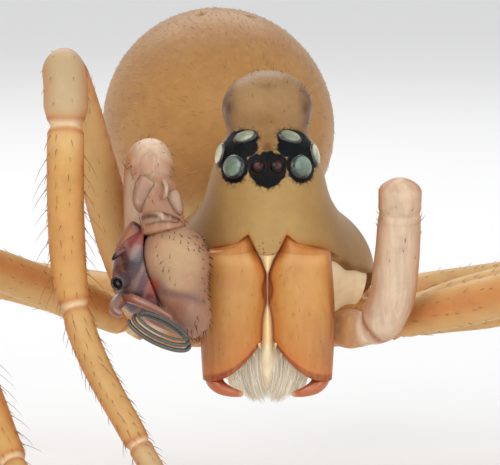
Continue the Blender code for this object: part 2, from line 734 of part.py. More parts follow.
def main():
    clear_scene()
    spider = bpy.data.objects.new("spider", None)
    bpy.context.scene.collection.objects.link(spider)
    spider.location = (-MIDDLE[0] * MM, -MIDDLE[1] * MM, 0)

    shell = material("carapace", (0.40, 0.28, 0.14), 0.35)
    belly = material("abdomen", (0.45, 0.30, 0.13), 0.5)
    plate = material("underside", (0.55, 0.40, 0.22), 0.4)
    jaw = material("chelicera", (0.62, 0.29, 0.10), 0.3)
    claw = material("fang", (0.30, 0.09, 0.03), 0.25)
    clear = material("eye", (0.32, 0.40, 0.34), 0.08)
    dark_eye = material("eye_dark", (0.05, 0.02, 0.015), 0.1)
    limb = material("leg", (0.62, 0.38, 0.13), 0.4)
    pale = material("palp", (0.66, 0.45, 0.36), 0.35)
    organ = material("bulb", (0.20, 0.06, 0.06), 0.3)
    wire = material("embolus", (0.09, 0.11, 0.13), 0.25)

    add("carapace", skin(carapace_field, CARAPACE_CORE, 26, 32), shell, spider)
    add("sternum", skin(sternum_field, STERNUM_CORE, 8, 16), plate, spider)
    add("labium", skin(lambda p: ellipsoid(p, *LABIUM), LABIUM[0], 6, 10), plate, spider)
    stalk = spline(STALK, 2)
    stalk_radii = [STALK_RADIUS * 0.8] + [STALK_RADIUS] * (len(stalk) - 1)
    egg = skin(abdomen_field, ABDOMEN[0], 18, 24)
    add("abdomen", [egg, tube(stalk, stalk_radii, sides=10)], belly, spider)
    add("spinnerets", spinneret_shapes(), belly, spider)

    for side in ("left", "right"):
        for kind, (radius, outside, inside) in EYES.items():
            coat = dark_eye if kind == "front_middle" else clear
            shape = eye_shape(radius, mirrored(outside, side), mirrored(inside, side))
            add(f"eye_{kind}_{side}", shape, coat, spider)
        add(f"maxilla_{side}", maxilla_shape(side), plate, spider)
        add(f"chelicera_{side}", [chelicera_shape(side)] + chelicera_teeth(side), jaw, spider)
        add(f"fang_{side}", fang_shape(side), claw, spider)
        for kind, shape in palp_shapes(side).items():
            spurs = horns(TIBIA_SPURS, SPUR_TAPER, 1.6) if kind == "tibia" else []
            add(f"palp_{kind}_{side}", [shape] + spurs if spurs else shape, pale, spider)
        for number in (1, 2, 3, 4):
            for kind, shape in leg_shapes(side, number).items():
                add(f"leg_{number}_{kind}_{side}", shape, limb, spider)

    add("palp_cymbium_right", skin(cymbium_field, SPOON_CORE, 18, 18, reach=0.4), pale, spider)
    add("palp_bulb_right", bulb_shapes(), organ, spider)
    add("palp_embolus_right", coil_shape(), wire, spider)


main()
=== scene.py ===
"""A male dwarf sheet-web spider, Spirembolus novellus, dressed as a still model at life size.

The spider faces -Y, its left side is +X and its feet stand on z = 0. Sizes and places are in
millimetres on a maker's frame whose origin lies under the face. Each finished piece is moved
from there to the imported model's frame and scaled to metres.
"""

import math

import bpy
import numpy as np
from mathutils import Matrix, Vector


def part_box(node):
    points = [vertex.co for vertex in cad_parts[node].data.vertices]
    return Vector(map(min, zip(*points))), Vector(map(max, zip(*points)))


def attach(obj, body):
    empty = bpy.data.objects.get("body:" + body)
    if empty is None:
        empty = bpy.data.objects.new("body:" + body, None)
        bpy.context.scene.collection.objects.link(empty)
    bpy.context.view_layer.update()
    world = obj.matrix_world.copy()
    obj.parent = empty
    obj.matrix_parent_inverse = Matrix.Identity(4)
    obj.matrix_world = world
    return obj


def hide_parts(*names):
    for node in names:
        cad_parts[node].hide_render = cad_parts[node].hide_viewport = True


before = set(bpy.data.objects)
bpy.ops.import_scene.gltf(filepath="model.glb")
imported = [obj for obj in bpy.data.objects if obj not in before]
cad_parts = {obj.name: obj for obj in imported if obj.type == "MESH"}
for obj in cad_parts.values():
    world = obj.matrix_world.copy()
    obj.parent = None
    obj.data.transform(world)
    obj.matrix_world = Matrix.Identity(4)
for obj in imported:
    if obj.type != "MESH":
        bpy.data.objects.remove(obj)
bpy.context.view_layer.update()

MM = 0.001

# Side of a hair's patch on the bake map, the map's bare margin, and how deep a hair's root sinks
HAIR_PATCH = 0.003
MAP_MARGIN = 0.01
HAIR_SINK = 0.004

X_AXIS = np.array([1.0, 0.0, 0.0])
Y_AXIS = np.array([0.0, 1.0, 0.0])
Z_AXIS = np.array([0.0, 0.0, 1.0])
SIDES = ("left", "right")
HANDS = {"left": 1, "right": -1}

# Rows and columns of each surface that is cast on a field, rings and sides of each limb
GRIDS = {
    "carapace": (290, 330), "sternum": (90, 110), "labium": (40, 50), "pleura": (130, 180),
    "spoon": (190, 190), "bulb": (110, 130), "abdomen": (210, 240), "mound": (40, 50),
    "leg": (480, 36), "palp": (260, 48),
}
CAST_HALVINGS = 26
LIMB_STEPS = 30
JAW_STEPS = 14

# Start of each piece's random draws, and how many hairs it has, left and right being the palps
SEEDS = {"scopulae": 5, "leg": 10, "palp": 31, "face": 44, "spoon": 71, "abdomen": 90}
HAIR_COUNTS = {"scopulae": 620, "left": 26, "right": 90, "lobe": 220, "jaws": 90, "abdomen": 4200}

# Carapace as centre and half sizes: thorax, head, the neck that carries the eyes, and the lobe
THORAX = ((0, 0.50, 0.80), (0.350, 0.40, 0.265))
HEAD = ((0, 0.26, 0.94), (0.222, 0.28, 0.29))
NECK = ((0, 0.17, 1.17), (0.150, 0.17, 0.13))
LOBE = ((0, 0.235, 1.358), (0.145, 0.175, 0.122))
EYE_FIELD = ((0, 0.165, 1.232), (0.142, 0.125, 0.085))
FOVEA = ((0, 0.66, 1.045), (0.012, 0.070, 0.030))
CARAPACE_BLEND = 0.11
LOBE_BLEND = 0.04
CARAPACE_CORE = (0, 0.34, 1.00)
CARAPACE_FRONT = 0.55
CLYPEUS_BACK = 0.17

# Lower edge of the clypeus, as distance from the midline and height: a tongue between two notches
CLYPEUS_EDGE = ((0.0, 0.909), (0.022, 0.911), (0.036, 0.924), (0.050, 0.952), (0.061, 0.972),
                (0.074, 0.959), (0.090, 0.943), (0.115, 0.933), (0.145, 0.927), (0.172, 0.917),
                (0.205, 0.900), (0.271, 0.860), (0.400, 0.800))

# Carapace's side margin, as distance from front to back and height
MARGIN = ((0.17, 0.872), (0.27, 0.830), (0.42, 0.806), (0.62, 0.712))

# Underside
STERNUM = ((0, 0.53, 0.66), (0.160, 0.203, 0.082))
STERNUM_TOP = 0.70
STERNUM_CORE = (0, 0.53, 0.65)
LABIUM = ((0, 0.296, 0.625), (0.056, 0.023, 0.048))
PLEURA_INSET = 0.018
PLEURA_FRONT = 0.120
PLEURA_BLEND = 0.10
PLEURA_SPAN = (0.665, 0.90)
PLEURA_CORE = (0, 0.50, 0.78)
ROSTRUM = (
    (0.940, 0.036, -0.004), (0.915, 0.034, -0.012), (0.890, 0.0205, -0.012), (0.868, 0.0120, -0.008),
    (0.845, 0.0050, 0.004), (0.800, 0.0055, 0.010), (0.758, 0.0045, 0.010), (0.734, 0.0100, 0.000),
    (0.704, 0.0155, -0.012), (0.672, 0.0185, -0.018), (0.640, 0.0200, -0.018), (0.600, 0.026, 0.004),
    (0.560, 0.030, 0.040), (0.510, 0.024, 0.070), (0.470, 0.014, 0.090),
)
ROSTRUM_BACK = 0.16
MAXILLA = ((0.140, 0.215, 0.645), (0.062, 0.178, 0.478))
MAXILLA_RADIUS = 0.057
MAXILLA_SHARES = ((0.0, 0.70), (0.12, 0.92), (0.5, 1.0), (0.85, 1.05), (1.0, 0.95))

# Abdomen with its tail end, the stalk that joins it to the thorax, and the spinnerets
ABDOMEN = ((-0.165, 1.40, 1.20), (0.383, 0.53, 0.405))
ABDOMEN_TAIL = ((-0.30, 1.78, 1.00), (0.17, 0.20, 0.17))
ABDOMEN_YAW = math.radians(16)
STALK = ((0.0, 0.86, 0.78), (0.0, 0.914, 0.80), (-0.02, 1.0, 0.87), (-0.05, 1.12, 1.0))
STALK_RADIUS = 0.05
SPINNERET_MOUND = ((-0.345, 1.915, 0.925), 0.07)
SPINNERET_LENGTH = 0.075

# Eyes: radius, the point it looks from and the point behind it, for the left side
EYES = {
    "front_middle": (0.019, (0.031, -0.40, 1.218), (0.031, 0.17, 1.183)),
    "front_side": (0.042, (0.199, -0.40, 1.203), (0.081, 0.15, 1.184)),
    "rear_middle": (0.033, (0.098, -0.30, 1.448), (0.062, 0.17, 1.232)),
    "rear_side": (0.030, (0.600, -0.12, 1.258), (0.060, 0.16, 1.214)),
}

# Balls that lift the skin under the eyes: radius in lens half widths, and how far they stand out
MOUND_SCALE = 1.25
MOUND_RISE = 0.004

# Lens of each eye: half width, half height, how far it stands out and its turn in degrees
LENSES = {
    "front_middle": (0.0220, 0.0220, 0.013, 0),
    "front_side": (0.0450, 0.0395, 0.021, 8),
    "rear_middle": (0.0420, 0.0260, 0.016, -20),
    "rear_side": (0.0290, 0.0370, 0.014, 0),
}

# Chelicerae, for the left side, level by level from the top: inner and outer distance from the
# midline, middle of the depth, height at the inner side, half depth and drop to the outer side
CHELICERA = (
    (0.0580, 0.0860, 0.090, 0.992, 0.050, 0.010),
    (0.0500, 0.1120, 0.086, 0.985, 0.072, 0.034),
    (0.0420, 0.1500, 0.080, 0.974, 0.078, 0.044),
    (0.0360, 0.1860, 0.076, 0.955, 0.082, 0.034),
    (0.0320, 0.2010, 0.070, 0.920, 0.084, 0.010),
    (0.0170, 0.2045, 0.067, 0.886, 0.087, 0.0),
    (0.0075, 0.2065, 0.066, 0.862, 0.090, 0.0),
    (0.0015, 0.2085, 0.064, 0.840, 0.092, 0.0),
    (0.0014, 0.2115, 0.060, 0.800, 0.094, 0.0),
    (0.0020, 0.2140, 0.056, 0.758, 0.094, 0.008),
    (0.0080, 0.2145, 0.054, 0.734, 0.093, 0.022),
    (0.0135, 0.2140, 0.051, 0.704, 0.092, 0.044),
    (0.0160, 0.2110, 0.046, 0.668, 0.087, 0.086),
    (0.0170, 0.2060, 0.040, 0.636, 0.078, 0.128),
)

# Red-brown line down each jaw's inner side: height and distance from the midline
JAW_LINE = ((0.750, 0.002), (0.775, 0.011), (0.800, 0.0155), (0.822, 0.011), (0.842, 0.004),
            (0.862, 0.011), (0.886, 0.020), (0.915, 0.034))
JAW_CORNER = 0.8
JAW_CURVE = 2.2
FANG = ((0.160, 0.040, 0.548), (0.170, 0.022, 0.514), (0.154, -0.004, 0.490), (0.120, -0.012, 0.474),
        (0.076, 0.000, 0.463))
FANG_RADIUS = 0.033

# Palps, for the left side: points from the trochanter outward, then the points between which each part
# lies, with its profile
PALP = {
    "left": ((0.208, 0.185, 0.655), (0.262, 0.150, 0.655), (0.340, 0.115, 0.668), (0.392, 0.090, 0.745),
             (0.412, 0.080, 0.880), (0.419, 0.074, 0.980), (0.421, 0.066, 1.035), (0.423, 0.042, 1.150)),
    "right": ((0.208, 0.185, 0.655), (0.262, 0.150, 0.655), (0.335, 0.105, 0.675), (0.368, 0.085, 0.760),
              (0.385, 0.092, 0.960), (0.388, 0.092, 1.110), (0.384, 0.068, 1.180), (0.376, 0.015, 1.212),
              (0.366, -0.042, 1.200), (0.359, -0.080, 1.160), (0.324, -0.108, 0.985)),
}
PALP_FEMUR = ((0.0, 0.050), (0.13, 0.062), (0.235, 0.054), (0.34, 0.074), (0.60, 0.075), (0.88, 0.072),
              (1.0, 0.069))
PALP_PATELLA = ((0.0, 0.068), (0.22, 0.070), (0.70, 0.071), (1.0, 0.062))
PALP_TIBIA = ((0.0, 0.054), (0.20, 0.068), (1.0, 0.072))
PALP_PARTS = {
    "left": (("femur", 0, 6, PALP_FEMUR), ("patella", 6, 7, PALP_PATELLA)),
    "right": (("femur", 0, 7, PALP_FEMUR), ("patella", 7, 9, PALP_PATELLA), ("tibia", 9, 10, PALP_TIBIA)),
}
TIBIA_SPURS = (
    (0.031, ((-0.372, -0.138, 1.168), (-0.394, -0.142, 1.132),
             (-0.404, -0.134, 1.092), (-0.396, -0.122, 1.060))),
    (0.010, ((-0.330, -0.160, 1.166), (-0.318, -0.176, 1.144),
             (-0.320, -0.180, 1.120), (-0.334, -0.176, 1.102))),
    (0.024, ((-0.306, -0.138, 1.126), (-0.290, -0.146, 1.096),
             (-0.280, -0.142, 1.070), (-0.276, -0.132, 1.052))),
    (0.019, ((-0.390, -0.146, 1.036), (-0.354, -0.178, 1.050),
             (-0.312, -0.180, 1.048), (-0.276, -0.150, 1.034))),
)

# Palp organ on the right side: the spoon as a leaning dome and tip, the bulb with its stub, plates
# and horn, and the coiled embolus
SPOON_DOME = ((-0.2900, -0.118, 0.910), (0.108, 0.098, 0.112))
SPOON_DOME_SHEAR = -0.06
SPOON_TIP = ((-0.262, -0.112, 0.782), (0.076, 0.082, 0.124))
SPOON_TIP_SHEAR = -0.30
SPOON_BLEND = 0.07
SPOON_CORE = (-0.270, -0.115, 0.850)
BULB = ((-0.392, -0.090, 0.860), (0.100, 0.092, 0.142))
BULB_CORE = (-0.425, -0.105, 0.862)
STUB = ((-0.440, -0.135, 0.850), (-0.455, -0.165, 0.847), (-0.473, -0.205, 0.842))
STUB_RADIUS = 0.024
PLATES = (
    (0.024, ((-0.430, -0.120, 0.800), (-0.472, -0.160, 0.776),
             (-0.480, -0.192, 0.756), (-0.456, -0.212, 0.742))),
    (0.017, ((-0.452, -0.150, 0.796), (-0.412, -0.188, 0.786),
             (-0.352, -0.208, 0.762), (-0.300, -0.210, 0.732))),
    (0.020, ((-0.400, -0.120, 0.770), (-0.370, -0.150, 0.732),
             (-0.320, -0.170, 0.704), (-0.278, -0.172, 0.680))),
    (0.026, ((-0.405, -0.100, 1.018), (-0.434, -0.098, 0.985),
             (-0.458, -0.098, 0.952), (-0.474, -0.102, 0.922))),
)
HORN = (0.013, ((-0.446, -0.130, 0.945), (-0.466, -0.142, 0.934),
                (-0.480, -0.146, 0.922), (-0.490, -0.144, 0.908)))
COIL_CENTRE = (-0.332, -0.277, 0.704)
COIL_HALF = (0.106, 0.050)
COIL_TURNS = 2.5
COIL_PITCH = 0.018
COIL_WIRE = 0.0072
COIL_SHRINK = 0.22
COIL_TAPER = 0.45
COIL_ROLL = math.radians(-27)
COIL_TILT = math.radians(56)

# Legs: coxa ends for the left side, segment lengths, and the pose of each segment in degrees
COXAE = {
    1: ((0.128, 0.345, 0.635), (0.400, 0.272, 0.660)),
    2: ((0.170, 0.458, 0.635), (0.452, 0.425, 0.648)),
    3: ((0.170, 0.602, 0.635), (0.448, 0.625, 0.648)),
    4: ((0.128, 0.735, 0.635), (0.355, 0.865, 0.660)),
}
SEGMENTS = {
    1: (0.975, 0.205, 0.705, 0.500, 0.430),
    2: (0.770, 0.180, 0.565, 0.470, 0.410),
    3: (0.620, 0.160, 0.450, 0.420, 0.350),
    4: (0.820, 0.170, 0.660, 0.530, 0.410),
}
POSE = {
    ("right", 1): ((52, 70.5), (-7, -38), (-10, -74), (-44, -54), -52),
    ("right", 2): ((46, 20), (4, -46), (-39, -58), (-20, -20), -10),
    ("right", 3): ((105, 12), (107, -32), (109, -58), (108, -29), 108),
    ("right", 4): ((138, 1), (140, -20), (142, -34), (145, -15), 148),
    ("left", 1): ((53, 15), (46, -30), (40, -50), (35, -20), 32),
    ("left", 2): ((80, 10), (78, -30), (74, -46), (70, -16), 68),
    ("left", 3): ((112, 12), (112, -32), (112, -58), (114, -29), 114),
    ("left", 4): ((138, 1), (140, -20), (142, -34), (145, -15), 148),
}
COXA_PROFILE = ((0.0, 0.048), (0.12, 0.064), (0.55, 0.066), (0.74, 0.056), (0.86, 0.060), (1.0, 0.052))
FEMUR_PROFILE = ((0.0, 0.044), (0.08, 0.058), (0.35, 0.069), (0.75, 0.066), (0.93, 0.062), (1.0, 0.050))
PATELLA_PROFILE = ((0.0, 0.050), (0.30, 0.071), (0.75, 0.073), (1.0, 0.057))
TIBIA_PROFILE = ((0.0, 0.057), (0.10, 0.061), (0.60, 0.060), (0.93, 0.055), (1.0, 0.047))
FOOT_PROFILE = ((0.0, 0.042), (0.06, 0.048), (0.45, 0.043), (0.53, 0.038), (0.60, 0.038), (0.92, 0.026),
                (1.0, 0.020))
LEG_PARTS = ((0, 2, COXA_PROFILE), (2, 5, FEMUR_PROFILE), (5, 7, PATELLA_PROFILE),
             (7, 8, TIBIA_PROFILE), (8, 11, FOOT_PROFILE))
LEG_NODES = ("coxa", "femur", "patella_tibia", "metatarsus_tarsus")

# How much further along the patella reaches on the raised leg, past the bend that starts its tibia
PATELLA_REACH = {("right", 1): 0.131}
LEG_SCALE = {1: 1.0, 2: 0.96, 3: 0.90, 4: 0.96}
HIP_RADIUS = 0.075
KNEE_RADIUS = 0.085
TOE_LENGTH = 0.05
TOE_DROP = 50

# Camera: how far it looks down, its lens, the picture pixels that a millimetre takes, and where
# the midline and the floor under the face lie in the photograph's frame of 500 by 465 pixels
CAMERA_DROP = math.radians(6)
CAMERA_LENS = 400
SENSOR = 36
FRAME_WIDTH, FRAME_HEIGHT = 500, 465
PIXELS_PER_MM = 315
MIDLINE_COLUMN = 267.5
FLOOR_ROW = 540

# How far behind the face a line of sight starts, inside the head
SIGHT_START = 0.17

# Lamps: name, place, width, watts and colour, with the point that they shine on, then the
# surroundings and the floor's half width
LAMPS = (
    ("key", (-9, -14, 14), 14, 0.0015, (1.0, 0.98, 0.95)),
    ("fill", (12, -12, 9), 12, 0.0007, (0.95, 0.98, 1.0)),
    ("back", (-2, 12, 12), 12, 0.0008, (1.0, 1.0, 1.0)),
    ("low", (2, -16, 1.5), 10, 0.0004, (1.0, 0.99, 0.97)),
)
LAMP_AIM = (0, 0.2, 0.9)
WORLD_TONE = (0.98, 0.99, 1.0, 1.0)
WORLD_STRENGTH = 0.62
FLOOR_HALF = 400.0

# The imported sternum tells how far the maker's frame is moved
low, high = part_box("sternum")
SHIFT = np.array([(low.x + high.x) / 2 / MM - STERNUM[0][0], (low.y + high.y) / 2 / MM - STERNUM[0][1], 0.0])


def colour(red, green, blue):
    """A colour given as screen values from 0 to 255, as linear light."""
    screen = np.array((red, green, blue), float) / 255
    return np.where(screen <= 0.04045, screen / 12.92, ((screen + 0.055) / 1.055) ** 2.4)


OLIVE = colour(190, 162, 110)
LOBE_TAN = colour(174, 144, 106)
LOBE_RIM = colour(82, 54, 46)
LOBE_WARM = colour(148, 114, 70)
THORAX_BROWN = colour(170, 132, 78)
MARGIN_BROWN = colour(96, 62, 34)
AMBER = colour(212, 172, 110)
JAW_AMBER = colour(200, 148, 80)
JAW_PALE = colour(220, 176, 118)
JAW_DUSK = colour(172, 126, 94)
FANG_ORANGE = colour(186, 98, 50)
BRUSH_CREAM = colour(246, 236, 216)
BRUSH_GREY = colour(176, 170, 156)
ORANGE = colour(206, 118, 56)
CLYPEUS_ORANGE = colour(196, 128, 62)
RED_BROWN = colour(140, 56, 24)
DARK_BROWN = colour(66, 34, 20)
CREAM = colour(242, 222, 176)
MEMBRANE = colour(246, 234, 208)
PATELLA_GREY = colour(198, 180, 150)
TARSUS_GREY = colour(204, 180, 142)
PALP_PINK = colour(222, 204, 182)
PALP_ORANGE = colour(192, 132, 84)
SPOON_MAUVE = colour(168, 134, 116)
SPOON_HIGHLIGHT_TONE = colour(194, 166, 134)
SPOON_VIOLET = colour(118, 90, 98)
BULB_PURPLE = colour(80, 52, 58)
BULB_RED = colour(176, 62, 40)
SLATE = colour(84, 84, 76)
ABDOMEN_GOLD = colour(186, 142, 84)
ABDOMEN_BROWN = colour(152, 108, 62)
ABDOMEN_PALE = colour(208, 172, 118)
INK = colour(8, 9, 14)
INK_RED = colour(44, 16, 12)


def unit(vectors):
    """Vectors over their own lengths."""
    return vectors / np.maximum(np.linalg.norm(vectors, axis=-1, keepdims=True), 1e-12)


def step(value, start, end):
    """0 before start and 1 after end, with 3t^2 - 2t^3 between them."""
    t = np.clip((value - start) / (end - start), 0, 1)
    return t * t * (3 - 2 * t)


def bell(value, centre, half):
    """exp(-((value - centre) / half)^2), 1 at the centre."""
    return np.exp(-(((value - centre) / half) ** 2))


def tinted(base, other, share):
    """Base colours mixed with another by a share for each point."""
    share = np.asarray(share, float)[..., None]
    return base * (1 - share) + other * share


def mirrored(points, side):
    """Points given for the left side, moved to the side that is named."""
    return np.asarray(points, float) * (HANDS[side], 1, 1)


def turns(count):
    """Even angles round a circle."""
    return 2 * math.pi * np.arange(count) / count


def plain(value):
    """The measure itself."""
    return value


def ramp(value, start, end, low, high):
    """low before start and high after end, eased between them as step is."""
    return low + (high - low) * step(value, start, end)


def axes(grid):
    """A grid's own measures by name."""
    return {"x": grid[..., 0], "y": grid[..., 1], "z": grid[..., 2]}


def marked(tint, markings, **measures):
    """Markings laid over a tint one by one, each as strong as the product of its limits.

    A marking holds its colour, its strength and its limits. A limit holds a shape such as step or
    bell, the name of the measure that it reads, and the shape's own numbers.
    """
    for shade, share, *limits in markings:
        for shape, name, *span in limits:
            share = share * shape(measures[name], *span)
        tint = tinted(tint, shade, share)
    return tint


def beside(distance, joint, reach, half):
    """Bells at a reach before and after a joint."""
    return bell(distance, joint - reach, half) + bell(distance, joint + reach, half)


class Skin:
    """Points, quads and triangles of a surface, with a colour and a map place for each point."""

    def __init__(self, points, quads, triangles, tint, places=None):
        self.points = points.reshape(-1, 3)
        self.quads = quads
        self.triangles = triangles
        self.tint = np.broadcast_to(tint, self.points.shape)
        self.places = places

    def outward(self):
        """Turns every face round if the enclosed volume, the sum of a . (b x c) / 6, is negative."""
        corners = np.concatenate([self.quads[:, :3], self.quads[:, [0, 2, 3]], self.triangles])
        a, b, c = (self.points[corners[:, k]] for k in range(3))
        if np.sum(a * np.cross(b, c)) < 0:
            self.quads = self.quads[:, ::-1]
            self.triangles = self.triangles[:, ::-1]
        return self


def joined(skins):
    """Several skins as one, each one's faces counted on from the points before it."""
    starts = np.cumsum([0] + [len(skin.points) for skin in skins[:-1]])
    quads = np.concatenate([skin.quads + start for skin, start in zip(skins, starts)])
    triangles = np.concatenate([skin.triangles + start for skin, start in zip(skins, starts)])
    points, tints = (np.concatenate([getattr(skin, part) for skin in skins]) for part in ("points", "tint"))
    places = None if skins[0].places is None else np.concatenate([skin.places for skin in skins])
    return Skin(points, quads, triangles, tints, places)


def quads_between(index):
    """Quads between rings of point numbers, and the numbers moved on by one round each ring."""
    after = np.roll(index, -1, axis=1)
    return np.stack([index[:-1], after[:-1], after[1:], index[1:]], -1).reshape(-1, 4), after


def closed(grid, tint, first=None, last=None):
    """Rings of points closed round: quads between rings and triangles to a pole at each end.

    Where no pole is given, it is the mean of the end ring.
    """
    rows, columns = grid.shape[:2]
    index = np.arange(rows * columns).reshape(rows, columns)
    quads, after = quads_between(index)
    first = grid[0].mean(0) if first is None else first
    last = grid[-1].mean(0) if last is None else last
    start, end = rows * columns, rows * columns + 1
    triangles = np.concatenate([
        np.stack([after[0], index[0], np.full(columns, start)], -1),
        np.stack([index[-1], after[-1], np.full(columns, end)], -1)])
    points = np.concatenate([grid.reshape(-1, 3), [first, last]])
    tint = np.asarray(tint, float)
    if tint.ndim > 1:
        tint = np.broadcast_to(tint, grid.shape)
        tint = np.concatenate([tint.reshape(-1, 3), [tint[0].mean(0)], [tint[-1].mean(0)]])
    return Skin(points, quads, triangles, tint).outward()


def mesh_of(name, skin):
    """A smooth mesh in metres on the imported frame, with the attribute tint and, for hair, the bake map."""
    mesh = bpy.data.meshes.new(name)
    corners = np.concatenate([skin.quads.ravel(), skin.triangles.ravel()]).astype(np.int32)
    sizes = np.concatenate([np.full(len(skin.quads), 4), np.full(len(skin.triangles), 3)])
    mesh.vertices.add(len(skin.points))
    mesh.vertices.foreach_set("co", ((skin.points + SHIFT) * MM).ravel())
    mesh.loops.add(len(corners))
    mesh.loops.foreach_set("vertex_index", corners)
    mesh.polygons.add(len(sizes))
    mesh.polygons.foreach_set("loop_start", np.concatenate([[0], np.cumsum(sizes)[:-1]]).astype(np.int32))
    mesh.polygons.foreach_set("use_smooth", np.ones(len(sizes), bool))
    mesh.update(calc_edges=True)
    tint = mesh.attributes.new("tint", "FLOAT_COLOR", "POINT")
    tint.data.foreach_set("color", np.column_stack([skin.tint, np.ones(len(skin.tint))]).ravel())
    if skin.places is not None:
        bake_map = mesh.uv_layers.new(name="OFBake")
        bake_map.data.foreach_set("uv", skin.places[corners].ravel())
    return mesh


def piece(name, skin, coat, slot, *nodes):
    """A finished piece that rides on the body and stands for the named nodes."""
    mesh = mesh_of(name, skin)
    mesh.materials.append(coat)
    made = bpy.data.objects.new(name, mesh)
    bpy.context.scene.collection.objects.link(made)
    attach(made, "root")
    if nodes:
        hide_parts(*nodes)


def ellipsoid(p, centre, half):
    """Rough distance to an ellipsoid: length of the offset over the half sizes, less 1, by the least half."""
    return (np.linalg.norm((p - np.array(centre)) / np.array(half), axis=-1) - 1.0) * min(half)


def smooth_min(a, b, blend):
    """The lesser of two, rounded by h^2 * blend / 4 where they are closer than blend."""
    h = np.maximum(blend - np.abs(a - b), 0.0) / blend
    return np.minimum(a, b) - h * h * blend * 0.25


def smooth_max(a, b, blend):
    """The greater of two, rounded in the same way."""
    return -smooth_min(-a, -b, blend)


def plain_carapace(p):
    """The carapace without its notch: thorax, head, neck, eye field and lobe melted together."""
    shape = smooth_min(ellipsoid(p, *THORAX), ellipsoid(p, *HEAD), CARAPACE_BLEND)
    shape = smooth_min(shape, ellipsoid(p, *NECK), CARAPACE_BLEND)
    shape = smooth_min(shape, ellipsoid(p, *EYE_FIELD), LOBE_BLEND)
    return smooth_min(shape, ellipsoid(p, *LOBE), LOBE_BLEND)


def clypeus_edge(x):
    """Height of the clypeus's lower edge at a distance from the midline."""
    spots = np.array(CLYPEUS_EDGE)
    return np.interp(np.abs(x), spots[:, 0], spots[:, 1])


def carapace_field(p):
    """The plain carapace with its eye mounds, less the fovea, the notch and all below the margin."""
    shape = smooth_max(plain_carapace(p), -ellipsoid(p, *FOVEA), 0.02)
    for centre, radius in EYE_MOUNDS:
        shape = smooth_min(shape, ellipsoid(p, centre, (radius,) * 3), 0.018)
    notch = np.minimum(clypeus_edge(p[..., 0]) - p[..., 2], CLYPEUS_BACK - p[..., 1])
    shape = smooth_max(shape, notch, 0.006)
    return smooth_max(shape, read_profile(MARGIN, p[..., 1]) - p[..., 2], 0.012)


def pleura_field(p):
    """The soft wall under the carapace: its plain shape shrunk, rounded off in front, above and below."""
    shape = smooth_max(plain_carapace(p) + PLEURA_INSET, PLEURA_FRONT - p[..., 1], PLEURA_BLEND)
    shape = smooth_max(shape, PLEURA_SPAN[0] - p[..., 2], 0.05)
    return smooth_max(shape, p[..., 2] - PLEURA_SPAN[1], 0.03)


def sternum_field(p):
    """A dome that hangs down, its top cut level."""
    return smooth_max(ellipsoid(p, *STERNUM), p[..., 2] - STERNUM_TOP, 0.02)


def abdomen_field(p):
    """A turned egg melted into its tail end."""
    offset = p - np.array(ABDOMEN[0])
    c, s = math.cos(ABDOMEN_YAW), math.sin(ABDOMEN_YAW)
    turned = np.stack([offset[..., 0] * c + offset[..., 1] * s,
                       offset[..., 1] * c - offset[..., 0] * s, offset[..., 2]], -1)
    return smooth_min(ellipsoid(turned, (0, 0, 0), ABDOMEN[1]), ellipsoid(p, *ABDOMEN_TAIL), 0.12)


def leaning_egg(p, egg, shear):
    """An egg whose sections are pushed sideways in step with their height."""
    lean = shear * (p[..., 2] - egg[0][2])
    return ellipsoid(np.stack([p[..., 0] - lean, p[..., 1], p[..., 2]], -1), *egg)


def cymbium_field(p):
    """A dome and a narrower tip below it, both leaning, with a shallow fold between them."""
    dome = leaning_egg(p, SPOON_DOME, SPOON_DOME_SHEAR)
    return smooth_min(dome, leaning_egg(p, SPOON_TIP, SPOON_TIP_SHEAR), SPOON_BLEND)


def bulb_field(p):
    """An egg cut back from the spoon that it lies against."""
    return smooth_max(ellipsoid(p, *BULB), 0.004 - cymbium_field(p), 0.006)


def cast(field, core, ways, reach):
    """Where rays from a point inside a field leave it: the span from 0 to reach is halved many times."""
    near = np.zeros(ways.shape[:-1])
    far = np.full(ways.shape[:-1], float(reach))
    for _ in range(CAST_HALVINGS):
        middle = (near + far) / 2
        inside = field(core + ways * middle[..., None]) < 0
        near = np.where(inside, middle, near)
        far = np.where(inside, far, middle)
    return core + ways * near[..., None]


def ways_of(tilt, turn):
    """Unit vectors: tilt is measured up from -Z and turn round Z from +X."""
    tilt, turn = np.broadcast_arrays(tilt, turn)
    return np.stack([np.sin(tilt) * np.cos(turn), np.sin(tilt) * np.sin(turn), -np.cos(tilt)], -1)


def cast_skin(field, core, size, reach, front=0.0):
    """A grid of size rows and columns cast on a field, with its poles on Z.

    The columns are drawn together towards -Y, by front times the sine of their turn.
    """
    rows, columns = size
    core = np.array(core, float)
    tilt = math.pi * np.arange(1, rows) / rows
    turn = turns(columns) - front * np.sin(turns(columns)) - math.pi / 2
    grid = cast(field, core, ways_of(tilt[:, None], turn[None, :]), reach)
    return grid, cast(field, core, np.array([-Z_AXIS, Z_AXIS]), reach)


def normals_at(field, points):
    """The field's slope along each axis, over a step of 0.002 both ways."""
    reach = 0.002
    slopes = [field(points + reach * axis) - field(points - reach * axis) for axis in np.eye(3)]
    return unit(np.stack(slopes, -1))


